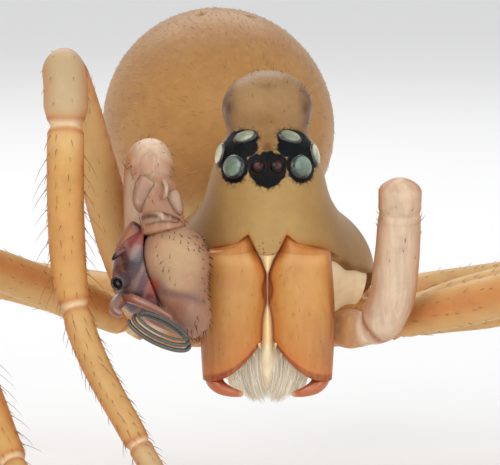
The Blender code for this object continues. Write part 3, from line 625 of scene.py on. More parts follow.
def spline(points, steps):
    """A centripetal curve through points of any dimension: blends of blends of each four in a row."""
    points = np.asarray(points, float)
    ends = np.vstack([2 * points[0] - points[1], points, 2 * points[-1] - points[-2]])
    knots = np.concatenate([[0], np.cumsum(np.sqrt(np.linalg.norm(np.diff(ends, axis=0), axis=1)))])
    p0, p1, p2, p3 = (ends[k:len(ends) - 3 + k, None] for k in range(4))
    t0, t1, t2, t3 = (knots[k:len(knots) - 3 + k, None, None] for k in range(4))
    t = t1 + (t2 - t1) * (np.arange(steps) / steps)[None, :, None]
    a1 = (p0 * (t1 - t) + p1 * (t - t0)) / (t1 - t0)
    a2 = (p1 * (t2 - t) + p2 * (t - t1)) / (t2 - t1)
    a3 = (p2 * (t3 - t) + p3 * (t - t2)) / (t3 - t2)
    b1 = (a1 * (t2 - t) + a2 * (t - t0)) / (t2 - t0)
    b2 = (a2 * (t3 - t) + a3 * (t - t1)) / (t3 - t1)
    curve = (b1 * (t2 - t) + b2 * (t - t1)) / (t2 - t1)
    return np.vstack([curve.reshape(-1, points.shape[1]), points[-1]])


def lengths_along(path):
    """Distance from the start of a path to each of its points."""
    return np.concatenate([[0], np.cumsum(np.linalg.norm(np.diff(path, axis=0), axis=1))])


def places_at(path, run, distances):
    """Points at distances along a path."""
    return np.stack([np.interp(distances, run, path[:, k]) for k in range(path.shape[1])], -1)


def read_profile(profile, share):
    """Radius at a share of the length, eased by 3t^2 - 2t^3 between the profile's entries."""
    shares, radii = np.array(profile).T
    after = np.clip(np.searchsorted(shares, share), 1, len(shares) - 1)
    t = np.clip((share - shares[after - 1]) / (shares[after] - shares[after - 1]), 0, 1)
    return radii[after - 1] + (radii[after] - radii[after - 1]) * t * t * (3 - 2 * t)


def frames_along(path, across):
    """Tangent, side and up at each point of a path: the side is across made square to the tangent."""
    tangents = unit(np.gradient(path, axis=0))
    side = unit(across - tangents * (tangents @ across)[:, None])
    return tangents, side, np.cross(side, tangents)


def spokes_round(side, up, sides):
    """Spokes round each point of a path: up cos a + side sin a."""
    angle = turns(sides)[:, None]
    return up[..., None, :] * np.cos(angle) + side[..., None, :] * np.sin(angle)


def rings_about(path, radii, sides, across):
    """Rings round a path: centre + spoke * radius."""
    _, side, up = frames_along(path, across)
    return path[:, None] + spokes_round(side, up, sides) * radii.reshape(len(path), -1, 1)


def blunt(share, length, start, end):
    """1 along a tube, falling to 0 on a quarter circle within start or end of its two ends."""
    from_start = np.clip(1 - share * length / start, 0, 1)
    from_end = np.clip(1 - (1 - share) * length / end, 0, 1)
    return np.sqrt(np.clip(1 - from_start ** 2, 0, 1)) * np.sqrt(np.clip(1 - from_end ** 2, 0, 1))


def bundle(grid, tips, places, tint):
    """Many closed tubes of one build, each from its rings and its tip, with its own patch of the bake map."""
    count, rings, sides = grid.shape[:3]
    each = rings * sides + 1
    points = np.concatenate([grid.reshape(count, rings * sides, 3), tips.reshape(count, 1, 3)], axis=1)
    index = np.arange(rings * sides).reshape(rings, sides)
    quads, after = quads_between(index)
    point = np.stack([index[-1], after[-1], np.full(sides, rings * sides)], -1)
    base = np.stack([np.zeros(sides - 2, int), index[0, 2:], index[0, 1:-1]], -1)
    triangles = np.concatenate([point, base])
    starts = (np.arange(count) * each)[:, None, None]
    rings_at, sides_at = np.meshgrid(np.arange(rings) / rings, np.arange(sides) / sides, indexing="ij")
    patch = np.concatenate([np.stack([rings_at, sides_at], -1).reshape(-1, 2), [(1, 0.5)]])
    spots = (places[:, None] + HAIR_PATCH * patch[None]).reshape(-1, 2)
    tint = np.repeat(np.broadcast_to(tint, (count, 3)), each, axis=0)
    quads = (quads[None] + starts).reshape(-1, 4)
    triangles = (triangles[None] + starts).reshape(-1, 3)
    return Skin(points, quads, triangles, tint, spots).outward()


def combed_hairs(roots, normals, lie, lengths, thick, lift, droop, places, tint, collar=0.0):
    """Tapered hairs: root + way * L t - normal * droop * L t^2, three-sided, closed to a point.

    The way leans from the lie, made square to the normal, up by lift in radians. A collar widens
    the first two rings, as the socket that a bristle stands in does.
    """
    count = len(roots)
    lengths, thick, lift, droop = (np.broadcast_to(value, (count,))
                                   for value in (lengths, thick, lift, droop))
    flat = unit(lie - normals * np.sum(lie * normals, -1, keepdims=True))
    way = flat * np.cos(lift)[:, None] + normals * np.sin(lift)[:, None]
    if collar:
        t = np.array((0.0, 0.10, 0.14, 0.42, 0.72))
        widths = np.array((1.0 + collar, 1.0 + collar, 1.0, 0.86, 0.55))
    else:
        t = np.array((0.0, 0.35, 0.70))
        widths = np.array((1.0, 0.85, 0.52))

    def line(s):
        along = way[:, None] * (lengths[:, None] * s)[..., None]
        fall = normals[:, None] * (lengths[:, None] * droop[:, None] * s * s)[..., None]
        return roots[:, None] + along - fall - normals[:, None] * HAIR_SINK * (1 - s[..., None])

    centres = line(np.broadcast_to(t, (count, len(t))))
    across = unit(np.cross(way, normals) + 1e-6)
    other = unit(np.cross(way, across))
    spokes = spokes_round(other, across, 3)[:, None]
    grid = centres[:, :, None] + spokes * (thick[:, None] * widths)[..., None, None]
    return bundle(grid, line(np.ones((count, 1))), places, tint)


def strands(starts, middles, ends, thick, places, tint):
    """Curved hairs on a (1 - t)^2 + 2 b t (1 - t) + c t^2, five-sided, thinning as 1 - 0.9 t^2."""
    t = np.linspace(0, 1, 12)[None, :-1, None]
    line = starts[:, None] * (1 - t) ** 2 + 2 * middles[:, None] * t * (1 - t) + ends[:, None] * t ** 2
    tangents = unit(np.gradient(line, axis=1))
    side = unit(Y_AXIS - tangents * tangents[..., 1:2])
    spokes = spokes_round(side, np.cross(side, tangents), 5)
    width = thick[:, None] * (1 - 0.9 * t[..., 0] ** 2)
    return bundle(line[:, :, None] + spokes * width[..., None, None], ends[:, None], places, tint)


def map_place(u, v, cell=(0, 0, 1, 1)):
    """Places on the bake map from shares of the skin's own unwrap, within a cell of the map."""
    left, bottom, width, height = cell
    u = left + width * (MAP_MARGIN + (1 - 2 * MAP_MARGIN) * np.clip(u, 0, 1))
    v = bottom + height * (MAP_MARGIN + (1 - 2 * MAP_MARGIN) * np.clip(v, 0, 1))
    return np.stack(np.broadcast_arrays(u, v), -1)


class Flow:
    """A shader socket. An expression on it adds the Math nodes that work it out."""

    def __init__(self, coat, socket):
        self.coat = coat
        self.socket = socket

    def math(self, operation, *values, clamp=False):
        """The Math node of that name on the values."""
        return self.coat.node("ShaderNodeMath", {"operation": operation, "use_clamp": clamp}, *values)

    def __add__(self, other):
        return self.math("ADD", self, other)

    def __sub__(self, other):
        return self.math("SUBTRACT", self, other)

    def __rsub__(self, other):
        return self.math("SUBTRACT", other, self)

    def __mul__(self, other):
        return self.math("MULTIPLY", self, other)

    __radd__ = __add__
    __rmul__ = __mul__

    def most(self, other):
        """The greater of this and another value."""
        return self.math("MAXIMUM", self, other)

    def stretched(self, factors):
        """A place multiplied by a factor on each axis."""
        return self.coat.node("ShaderNodeVectorMath", {"operation": "MULTIPLY"}, self, tuple(factors))

    def fade(self, start, end):
        """1 at start and 0 at end, eased between them."""
        span = {"Value": self, "From Min": start, "From Max": end, "To Min": 1.0, "To Max": 0.0}
        return self.coat.node("ShaderNodeMapRange", {"interpolation_type": "SMOOTHSTEP"}, span)


class Coat:
    """A node material with one Principled shader, its places in the maker's millimetres."""

    def __init__(self, name, **settings):
        self.material = bpy.data.materials.new(name)
        self.material.use_nodes = True
        self.tree = self.material.node_tree
        self.shader = self.tree.nodes["Principled BSDF"]
        for key, value in settings.items():
            self.feed(self.shader.inputs[key.replace("_", " ").title().replace("Ior", "IOR")], value)
        spot = self.node("ShaderNodeTexCoord", out="Object")
        moved = {"Vector": spot, "Scale": (1 / MM,) * 3, "Location": tuple(-SHIFT)}
        self.place = self.node("ShaderNodeMapping", {}, moved)
        self.tint = self.node("ShaderNodeAttribute", {"attribute_name": "tint"}, out="Color")

    def feed(self, socket, value):
        """Links a socket to an input, or sets the input's value."""
        if isinstance(value, Flow):
            self.tree.links.new(value.socket, socket)
        elif hasattr(socket.default_value, "__len__") and len(socket.default_value) == 4 and len(value) == 3:
            socket.default_value = (*value, 1.0)
        else:
            socket.default_value = value

    def folded(self):
        """Places with the right side folded over on the left one."""
        parts = self.node("ShaderNodeSeparateXYZ", {}, self.place)
        x, y, z = (Flow(self, parts.socket.node.outputs[k]) for k in range(3))
        return self.node("ShaderNodeCombineXYZ", {}, x.math("ABSOLUTE", x), y, z)

    def stroke(self, place, first, last):
        """Distance of a place from the straight line between two points."""
        way = last - first
        offset = self.node("ShaderNodeVectorMath", {"operation": "SUBTRACT"}, place, tuple(first))
        along = self.node("ShaderNodeVectorMath", {"operation": "DOT_PRODUCT"}, offset,
                          tuple(way / max(float(way @ way), 1e-9)), out="Value")
        along = along.math("MULTIPLY", along, 1.0, clamp=True)
        near = self.node("ShaderNodeVectorMath", {"operation": "SCALE"}, {0: tuple(way), "Scale": along})
        return self.node("ShaderNodeVectorMath", {"operation": "DISTANCE"}, offset, near, out="Value")

    def node(self, kind, settings=None, *values, out=0):
        """Adds a node: its type, its settings, and its inputs in order or by name."""
        made = self.tree.nodes.new(kind)
        for key, value in (settings or {}).items():
            setattr(made, key, value)
        for place, value in enumerate(values):
            if isinstance(value, dict):
                for key, inner in value.items():
                    self.feed(made.inputs[key], inner)
            else:
                self.feed(made.inputs[place], value)
        return Flow(self, made.outputs[out])

    def mix(self, a, b, share):
        """Colour a, going over to colour b by a share."""
        return self.node("ShaderNodeMix", {"data_type": "RGBA"}, {0: share, 6: a, 7: b}, out=2)

    def laid(self, shade, over, pattern, start, end, share):
        """A shade with a colour over it, by a share where the pattern is past start and none at end."""
        return self.mix(shade, tuple(over), pattern.fade(start, end) * share)

    def noise(self, size, detail=3.0, place=None):
        """Soft noise from 0 to 1, its lumps about size millimetres across."""
        return self.node("ShaderNodeTexNoise", {}, {"Vector": place or self.place, "Scale": 1 / size,
                                                    "Detail": detail, "Roughness": 0.55})

    def cells(self, size, feature="DISTANCE_TO_EDGE"):
        """Distance within cells about size millimetres across."""
        where = {"Vector": self.place, "Scale": 1 / size}
        return self.node("ShaderNodeTexVoronoi", {"feature": feature}, where, out="Distance")

    def bump(self, height, depth, strength=1.0):
        """A normal from a height of 0 to 1 that stands for depth millimetres."""
        self.feed(self.shader.inputs["Normal"], self.node(
            "ShaderNodeBump", {}, {"Height": height, "Distance": depth * MM, "Strength": strength}))

    def paint(self, shade):
        """Sets the shader's colour."""
        self.feed(self.shader.inputs["Base Color"], shade)

    def rough(self, value):
        """Sets the shader's roughness."""
        self.feed(self.shader.inputs["Roughness"], value)


def flesh(name, glow, edge, edge_share, gloss, **settings):
    """A translucent cuticle: light spreads through it, and a thin amber layer deepens its edges."""
    return Coat(name, subsurface_weight=glow, subsurface_radius=(1.0, 0.72, 0.50),
                subsurface_scale=0.045 * MM, coat_weight=edge_share, coat_tint=edge, coat_ior=1.12,
                coat_roughness=0.25, specular_ior_level=gloss, **settings)


def eye_mounds():
    """A ball under each eye that lifts the skin round it a little: its centre and radius."""
    mounds = []
    for side in SIDES:
        for kind in ("front_side", "rear_middle", "rear_side"):
            foot, normal = eye_spot(kind, side)
            radius = MOUND_SCALE * LENSES[kind][0]
            mounds.append((tuple(foot - normal * (radius - MOUND_RISE)), radius))
    return mounds


def spot_between(field, outside, inside):
    """Where the line from a point outside a field to one inside meets it, and the normal there."""
    foot = cast(field, inside, unit(outside - inside)[None], 1.0)
    return foot[0], normals_at(field, foot)[0]


def eye_spot(kind, side):
    """Foot and normal of an eye on the carapace."""
    _, outside, inside = EYES[kind]
    return spot_between(plain_carapace, mirrored(outside, side), mirrored(inside, side))


EYE_MOUNDS = eye_mounds()

# Pigment round the eyes: how far its edge wanders, fades inward and outward, and its brown halo
PIGMENT_WOBBLE = 0.013
PIGMENT_EDGE = (0.002, 0.005)
HALO_WIDTH = 0.020


def seen_at(x, row):
    """The point of the carapace that the camera sees at a distance from the midline and a picture row."""
    height = (FLOOR_ROW - row) / PIXELS_PER_MM / math.cos(CAMERA_DROP)
    towards = np.array((0, -math.cos(CAMERA_DROP), math.sin(CAMERA_DROP)))
    core = np.array((x, 0.0, height)) - towards * SIGHT_START
    return cast(plain_carapace, core, towards[None], 1.0)[0]


def carapace_coat():
    """Olive tan cuticle, black round the eyes, stippled at the clypeus's tongue, netted all over."""
    coat = flesh("carapace_cuticle", 0.30, (0.82, 0.64, 0.44), 0.45, gloss=0.12)
    place = coat.folded()
    wobble = coat.node("ShaderNodeTexNoise", {}, {"Vector": coat.place, "Scale": 60.0, "Detail": 4.0},
                       out="Color")
    moved = coat.node("ShaderNodeVectorMath", {"operation": "MULTIPLY_ADD"},
                      wobble, (PIGMENT_WOBBLE,) * 3, place)
    moved = coat.node("ShaderNodeVectorMath", {"operation": "SUBTRACT"}, moved, (PIGMENT_WOBBLE / 2,) * 3)
    spot = {kind: eye_spot(kind, "left")[0] for kind in EYES}
    # Strokes of the pigment: first point, last point and reach
    strokes = (
        (seen_at(0.062, 139), seen_at(0.115, 140), 0.033),
        (seen_at(0.115, 140), spot["rear_side"] + np.array((0.010, 0, 0.046)), 0.022),
        (seen_at(0.060, 148), seen_at(0.120, 152), 0.030),
        (spot["front_side"], spot["front_side"] + np.array((0.012, 0.010, 0.004)), 0.053),
        (spot["rear_side"], spot["front_side"], 0.036),
        (seen_at(0, 169), seen_at(0, 172), 0.050),
        (seen_at(0.036, 163), seen_at(0.030, 172), 0.029),
        (seen_at(0.008, 156), seen_at(0.008, 160), 0.016),
    )
    pigment = halo = None
    for first, last, reach in strokes:
        away = coat.stroke(moved, first, last)
        patch = away.fade(reach - PIGMENT_EDGE[0], reach + PIGMENT_EDGE[1])
        ring = away.fade(reach, reach + HALO_WIDTH)
        pigment = patch if pigment is None else pigment.most(patch)
        halo = ring if halo is None else halo.most(ring)
    speck = coat.noise(0.02, 2.0)
    shade = coat.laid(coat.tint, MARGIN_BROWN, coat.noise(0.10, 4.0), 0.62, 0.40, 0.10)
    shade = coat.laid(shade, OLIVE * 1.25, speck, 0.75, 0.45, 0.08)
    dot = coat.stroke(place, seen_at(0, 146), seen_at(0, 148)).fade(0.004, 0.022)
    shade = coat.mix(shade, tuple(MARGIN_BROWN), dot * 0.55)
    stipple = coat.cells(0.012, feature="F1").fade(0.16, 0.32)
    tongue = coat.stroke(place, seen_at(0, 250), seen_at(0.03, 250)).fade(0.016, 0.045)
    shade = coat.mix(shade, tuple(MARGIN_BROWN), stipple * tongue * 0.75)
    near_middle = coat.stroke(place, seen_at(0.033, 166), seen_at(0.033, 167)).fade(0.018, 0.045)
    mottle = coat.noise(0.018, 3.0).fade(0.62, 0.44)
    ink = coat.mix(tuple(INK), tuple(INK_RED), near_middle * mottle)
    shade = coat.mix(shade, tuple(MARGIN_BROWN), halo * coat.noise(0.012, 3.0).fade(0.60, 0.40) * 0.75)
    coat.paint(coat.mix(shade, ink, pigment))
    coat.feed(coat.shader.inputs["Coat Weight"], pigment * -0.40 + 0.45)
    coat.rough(0.38 - coat.noise(0.05) * 0.10 + pigment * 0.06)
    net = coat.cells(0.016)
    coat.bump(net.fade(0.12, 0.0) * -0.5 + coat.noise(0.012, 2.0) * 0.5, 0.0012, 0.7)
    return coat.material


# Markings of the carapace. Aside is the distance from the midline, above and over are the heights above
# the clypeus's edge and the margin, and mottled and spoke are patterns
CARAPACE_MARKINGS = (
    (THORAX_BROWN, 1, (step, "y", 0.20, 0.55), (step, "z", 1.25, 1.0)),
    (THORAX_BROWN, 0.30, (step, "aside", 0.09, 0.19), (step, "z", 1.24, 1.15)),
    (LOBE_TAN, 1, (step, "z", 1.21, 1.30)),
    (LOBE_WARM, 0.75, (bell, "x", 0, 0.050), (bell, "z", 1.325, 0.045), (step, "y", 0.25, 0.12)),
    (LOBE_WARM, 0.80, (bell, "x", 0, 0.040), (bell, "z", 1.25, 0.05), (step, "y", 0.3, 0.1)),
    # The dark mottled rim down the lobe's sides and over its top is partly its own pigment and partly painted
    # shade where the lobe turns away from the front.
    (LOBE_RIM, 1, (step, "z", 1.26, 1.31), (step, "aside", 0.088, 0.134), (plain, "mottled")),
    (LOBE_RIM, 0.35, (step, "z", 1.43, 1.475), (step, "y", 0.34, 0.20), (plain, "mottled")),
    (LOBE_RIM, 0.35, (bell, "x", 0, 0.035), (bell, "z", 1.440, 0.012), (step, "y", 0.25, 0.12)),
    (CLYPEUS_ORANGE, 0.55, (step, "above", 0.034, 0.006), (step, "y", 0.16, 0.10),
     (step, "aside", 0.030, 0.045)),
    (RED_BROWN, 1, (bell, "above", 0.002, 0.0055), (step, "y", 0.16, 0.10), (step, "aside", 0.024, 0.038),
     (ramp, "aside", 0.07, 0.15, 0.45, 0.95)),
    (MARGIN_BROWN, 1, (step, "over", 0.030, 0.004), (step, "y", 0.16, 0.22),
     (ramp, "y", 0.4, 0.6, 0.45, 0.70)),
    (MARGIN_BROWN, 0.22, (plain, "spoke"), (step, "y", 0.30, 0.48), (step, "z", 1.25, 1.15)),
)


def carapace():
    """The carapace's skin: mottled lobe, dusky spokes round the fovea, dark lines along its edges."""
    grid, poles = cast_skin(carapace_field, CARAPACE_CORE, GRIDS["carapace"], 1.2, CARAPACE_FRONT)
    x, y, z = axes(grid).values()
    tint = marked(OLIVE, CARAPACE_MARKINGS, **axes(grid), aside=np.abs(x), above=z - clypeus_edge(x),
                  over=z - read_profile(MARGIN, y), spoke=np.cos(9 * np.arctan2(x, y - FOVEA[0][1])) ** 8,
                  mottled=0.75 + 0.25 * np.sin(90 * z + 31 * y) * np.sin(57 * y - 23 * z))
    piece("carapace_skin", closed(grid, tint, *poles), carapace_coat(), "carapace", "carapace")


def eye_coat(name, rim, glow, gloss):
    """A clear lens over its pale or dark cup: low roughness and a coat, as glossy as is asked."""
    coat = Coat(name, roughness=0.10, coat_weight=gloss, coat_roughness=0.06, specular_ior_level=gloss,
                subsurface_weight=glow, subsurface_radius=(1, 1, 1), subsurface_scale=0.01 * MM)
    coat.paint(coat.laid(coat.tint, rim, coat.noise(0.012), 0.7, 0.3, 0.25))
    return coat.material


# Looks of the eyes: middle, rim, and the share of the lens that stays clear of the rim
EYE_LOOKS = {
    "front_middle": (colour(74, 36, 32), colour(14, 8, 10), 0.45),
    "front_side": (colour(112, 132, 116), colour(24, 28, 30), 0.70),
    "rear_middle": (colour(142, 146, 120), colour(42, 42, 42), 0.70),
    "rear_side": (colour(206, 206, 176), colour(60, 62, 58), 0.76),
}
LENS_SINK = 0.001
# Angle round each lens at which its painted highlight lies
LENS_GLEAM_TURN = 2.4


def eyes():
    """Eight lenses: ellipsoids half sunk in the carapace, w cos a cos t + h cos a sin t + d sin a, with a
    painted highlight on one side and painted shade on the other.
    """
    clear = eye_coat("clear_eye", colour(70, 84, 80), 0.15, 0.45)
    dark = eye_coat("dark_eye", colour(20, 8, 6), 0.0, 0.18)
    lift = np.linspace(-0.5, 1.0, 32)[:-1] * math.pi / 2
    turn = turns(48)
    out = np.cos(lift)[:, None]
    for side in SIDES:
        for kind, (width, height, depth, roll) in LENSES.items():
            foot, normal = eye_spot(kind, side)
            across = unit(np.cross(normal, Z_AXIS))
            up = np.cross(across, normal)
            roll = math.radians(roll) * HANDS[side]
            c, s = math.cos(roll), math.sin(roll)
            across, up = across * c - up * s, up * c + across * s
            rim_line = across * width * np.cos(turn)[:, None] + up * height * np.sin(turn)[:, None]
            rise = (depth * np.sin(lift) - LENS_SINK)[:, None, None] * normal
            grid = foot + out[..., None] * rim_line + rise
            middle, rim, clear_share = EYE_LOOKS[kind]
            # Painted highlight and shade: each lens is lighter on the side turned to LENS_GLEAM_TURN and
            # darker, towards its rim colour, on the far side.
            towards_light = out * np.cos(turn - LENS_GLEAM_TURN * HANDS[side])
            tint = tinted(middle, middle * 1.6, step(towards_light, -0.1, 0.7) * 0.8)
            tint = tinted(tint, rim, step(-towards_light, 0.10, 0.9) * 0.60)
            tint = tinted(tint, rim, step(out, clear_share, clear_share + 0.16))
            skin = closed(grid, tint, last=foot + normal * (depth - LENS_SINK))
            coat, slot = (dark, "eye_dark") if kind == "front_middle" else (clear, "eye")
            piece(f"eye_{kind}_{side}_lens", skin, coat, slot, f"eye_{kind}_{side}")


def jaw_coat():
    """Glossy amber cuticle with fine crosswise ridges."""
    coat = flesh("jaw_cuticle", 0.35, (0.92, 0.74, 0.52), 0.5, gloss=0.5)
    ripple = coat.noise(0.02, 3.0, coat.place.stretched((1, 1, 3)))
    streak = coat.noise(0.05, 3.0, coat.place.stretched((2.5, 2.5, 0.6)))
    shade = coat.laid(coat.tint, RED_BROWN, coat.noise(0.07, 4.0), 0.66, 0.42, 0.10)
    shade = coat.laid(shade, JAW_PALE, streak, 0.70, 0.42, 0.22)
    coat.paint(coat.laid(shade, JAW_AMBER * 1.2, ripple, 0.8, 0.5, 0.10))
    coat.rough(0.30 + ripple * 0.12)
    coat.bump(ripple * 0.6 + coat.cells(0.014) * 0.6, 0.0010, 0.6)
    return coat.material


def jaw_point(level, share, forward):
    """A point of a chelicera's level: share of the way outward, and of the half depth forward."""
    inner, outer, centre_y, top, deep, drop = level
    return np.array((inner + (outer - inner) * share, centre_y - deep * forward,
                     top + drop * ((1 - share) ** JAW_CURVE - 1)))


# Fang groove below the lowest level: share of the level's width and height above it
JAW_GROOVE = ((0.95, -0.003), (0.86, -0.001), (0.68, 0.012), (0.46, 0.020), (0.22, 0.024))
JAW_SIDES = 150

# Teeth along the groove: their lengths, the tip's offset from the root for a length of 1, and radius
JAW_TEETH = (0.9, 1.25, 1.0, 1.15, 0.8, 0.6)
TOOTH_TIP = np.array((-0.010, -0.004, -0.021))
TOOTH_RADIUS = 0.0055

# Markings of the jaws. Aside runs from -1 at the inner side to 1 at the outer one, level is the height of
# a level at its inner side, and deep the distance behind its middle
JAW_EDGE = tinted(RED_BROWN, ORANGE, 0.10)
JAW_MARKINGS = (
    (ORANGE, 0.28, (step, "from_bottom", -0.12, -0.01)),
    # Pale middle of each jaw's front: painted light.
    (JAW_PALE, 0.40, (bell, "aside", 0.1, 0.5), (bell, "z", 0.80, 0.09)),
    (JAW_PALE, 0.70, (bell, "level", 0.895, 0.022), (step, "aside", -0.95, -0.6)),
    # Duskier lower outer part: painted shade.
    (JAW_DUSK, 0.75, (step, "aside", -0.1, 0.9), (step, "z", 0.78, 0.60)),
    (CLYPEUS_ORANGE, 0.70, (step, "level", 0.916, 0.932), (step, "deep", 0.02, -0.02)),
    (RED_BROWN, 0.35, (bell, "level", 0.922, 0.004), (step, "aside", 0.9, 0.2), (step, "deep", 0.02, -0.02)),
    # Orange towards the outer side: painted shade where the jaw turns away from the front.
    (ORANGE, 0.40, (step, "aside", 0.70, 0.92)),
    (ORANGE, 1, (step, "from_inner", 0.040, 0.010), (step, "deep", 0.02, -0.02),
     (ramp, "z", 0.72, 0.79, 0.25, 0.55)),
    (tinted(ORANGE, MARGIN_BROWN, 0.35), 0.90, (step, "x", 0.020, 0.014), (bell, "z", 0.800, 0.034),
     (step, "deep", 0.05, 0.02)),
    (tinted(RED_BROWN, ORANGE, 0.5), 1, (step, "from_inner", 0.010, 0.005), (step, "deep", 0.05, 0.02),
     (ramp, "z", 0.72, 0.79, 0.40, 0.80)),
    (RED_BROWN, 1, (bell, "from_line", 0, 0.0044), (step, "deep", 0.04, 0.0), (step, "z", 0.72, 0.79)),
    # Brown band and red-brown edge down the outer side: partly the jaw's own dark margin and partly painted
    # shade where it turns away.
    (MARGIN_BROWN, 0.60, (step, "aside", 0.74, 0.97), (bell, "z", 0.73, 0.13)),
    (RED_BROWN, 0.45, (step, "aside", 0.93, 0.995)),
    (ORANGE, 0.50, (step, "from_bottom", -0.034, -0.010)),
    (JAW_EDGE, 0.92, (step, "from_bottom", -0.0105, -0.0065)),
)


def chelicera(side, coat):
    """A column of rounded sections between smoothed levels, closed below by the hollow fang groove.

    At share u of the way from the inner to the outer side a level lies at z + drop ((1 - u)^2.2 - 1).
    """
    levels = spline(CHELICERA, JAW_STEPS)
    inset, sunk = np.array(JAW_GROOVE).T
    ends = np.repeat(levels[-1:], len(inset), axis=0)
    middle = (ends[:, 0] + ends[:, 1]) / 2
    half = (ends[:, 1] - ends[:, 0]) / 2 * inset
    ends[:, 0], ends[:, 1] = middle - half, middle + half
    ends[:, 4] *= inset
    ends[:, 3] += sunk
    rows = len(levels)
    levels = np.vstack([levels, ends])
    inner, _, centre_y, top, *_ = levels.T[..., None]
    c, s = np.cos(turns(JAW_SIDES)), np.sin(turns(JAW_SIDES))
    aside = np.sign(c) * np.abs(c) ** JAW_CORNER
    forward = -np.sign(s) * np.abs(s) ** JAW_CORNER
    grid = np.stack(jaw_point(levels.T[..., None], (aside + 1) / 2, forward), -1)
    x, y, z = axes(grid).values()
    tint = marked(JAW_AMBER, JAW_MARKINGS, **axes(grid), aside=aside, level=top, from_inner=x - inner,
                  deep=y - centre_y, from_bottom=levels[rows - 1, 3] - top,
                  from_line=x - np.interp(z, *np.array(JAW_LINE).T))
    tint = np.where(np.arange(len(levels))[:, None, None] >= rows, JAW_EDGE, tint)
    parts = [closed(mirrored(grid, side), tint)]
    for number, long in enumerate(JAW_TEETH):
        root = jaw_point(CHELICERA[-1], 0.05 + 0.105 * number, 0.66) + (0, 0, 0.006)
        tip = root + TOOTH_TIP * long
        path = mirrored(spline([root, (root + tip) / 2 + (0.003, -0.003, 0), tip], 5), side)
        radii = TOOTH_RADIUS * (1 - 0.9 * np.linspace(0, 1, len(path)) ** 1.2)
        parts.append(closed(rings_about(path, radii, 8, X_AXIS), tinted(AMBER, CREAM, 0.7)))
    piece(f"chelicera_{side}_skin", joined(parts), coat, "chelicera", f"chelicera_{side}")


FANG_SIDES = 32
FANG_MARKINGS = (
    (RED_BROWN, 0.90, (step, "height", 0.30, 0.75), (step, "share", 0.95, 0.5)),
    (RED_BROWN, 0.75, (bell, "share", 0.20, 0.10)),
    (CREAM, 0.50, (step, "share", 0.86, 1.0)),
)


def fang(side, coat):
    """A tapered curved spike, orange, with dark red along its upper edge and round its hinge."""
    path = mirrored(spline(FANG, JAW_STEPS), side)
    share = np.linspace(0, 1, len(path))
    radii = FANG_RADIUS * (1 - 0.74 * share ** 1.4) * blunt(share, lengths_along(path)[-1], 0.012, 0.010)
    grid = rings_about(path, np.maximum(radii, 0.0008), FANG_SIDES, unit(np.array((0.3, 1.0, 0.3))))
    height = (grid[..., 2] - path[:, None, 2]) / np.maximum(radii, 0.001)[:, None]
    tint = marked(FANG_ORANGE, FANG_MARKINGS, height=height, share=share[:, None])
    piece(f"fang_{side}_horn", closed(grid, tint), coat, "fang", f"fang_{side}")


ROSTRUM_SIDES = 48
ROSTRUM_MARKINGS = (
    (tinted(RED_BROWN, ORANGE, 0.15), 1, (step, "height", 0.862, 0.846)),
    (tinted(CREAM, AMBER, 0.45), 1, (step, "height", 0.755, 0.735)),
    (BRUSH_CREAM, 1, (step, "height", 0.64, 0.60)),
)


def rostrum(coat):
    """The soft wall between the jaws: oval rings from ROSTRUM's height, half width and front."""
    height, half, front = spline(ROSTRUM, 8).T[..., None]
    angle = turns(ROSTRUM_SIDES)
    deep = (ROSTRUM_BACK - front) / 2
    rings = np.broadcast_arrays(half * np.cos(angle), front + deep + deep * np.sin(angle), height)
    tint = marked(tinted(CREAM, AMBER, 0.3), ROSTRUM_MARKINGS, height=height)
    piece("rostrum", closed(np.stack(rings, -1), tint), coat, "underside")


MAXILLA_GRID = (40, 40)


def underside(coat, soft):
    """Sternum, labium and maxillae as plates, with the soft walls that join them to the rest."""
    centre, half = STERNUM
    grid, poles = cast_skin(sternum_field, STERNUM_CORE, GRIDS["sternum"], 1.0)
    edge = step(np.hypot(grid[..., 0] / half[0], (grid[..., 1] - centre[1]) / half[1]), 0.80, 1.0)
    tint = tinted(tinted(CREAM, AMBER, 0.55), MARGIN_BROWN, edge * 0.55)
    piece("sternum_plate", closed(grid, tint, *poles), coat, "underside", "sternum")
    grid, poles = cast_skin(lambda p: ellipsoid(p, *LABIUM), LABIUM[0], GRIDS["labium"], 1.0)
    piece("labium_plate", closed(grid, tinted(CREAM, AMBER, 0.2), *poles), coat, "underside", "labium")
    grid, poles = cast_skin(pleura_field, PLEURA_CORE, GRIDS["pleura"], 1.0)
    folds = (np.sin(grid[..., 2] * 190 + 4 * np.sin(grid[..., 1] * 14)) * 0.5 + 0.5) ** 3
    piece("pleura", closed(grid, tinted(MEMBRANE, AMBER, folds * 0.15), *poles), soft, "underside")
    rostrum(soft)
    rings, sides = MAXILLA_GRID
    share = np.linspace(0, 1, rings)
    tint = tinted(tinted(AMBER, CREAM, 0.5), BRUSH_CREAM, step(share, 0.2, 0.5))[:, None]
    for side in SIDES:
        root, tip = (mirrored(point, side) for point in MAXILLA)
        radii = MAXILLA_RADIUS * read_profile(MAXILLA_SHARES, share)
        radii = np.maximum(radii * blunt(share, np.linalg.norm(tip - root), 0.02, 0.045), 0.001)
        grid = rings_about(root + (tip - root) * share[:, None], radii, sides, X_AXIS)
        piece(f"maxilla_{side}_plate", closed(grid, tint), soft, "underside", f"maxilla_{side}")


# Brushes: nearest place and span of the strands' roots and tips across and in depth, and of the
# tips' height, which is least in the middle of the brush
BRUSH_ROOTS = ((0.012, 0.116), (0.060, 0.070))
BRUSH_TIPS = ((0.004, 0.090), (0.080, 0.040), (0.458, -0.026))


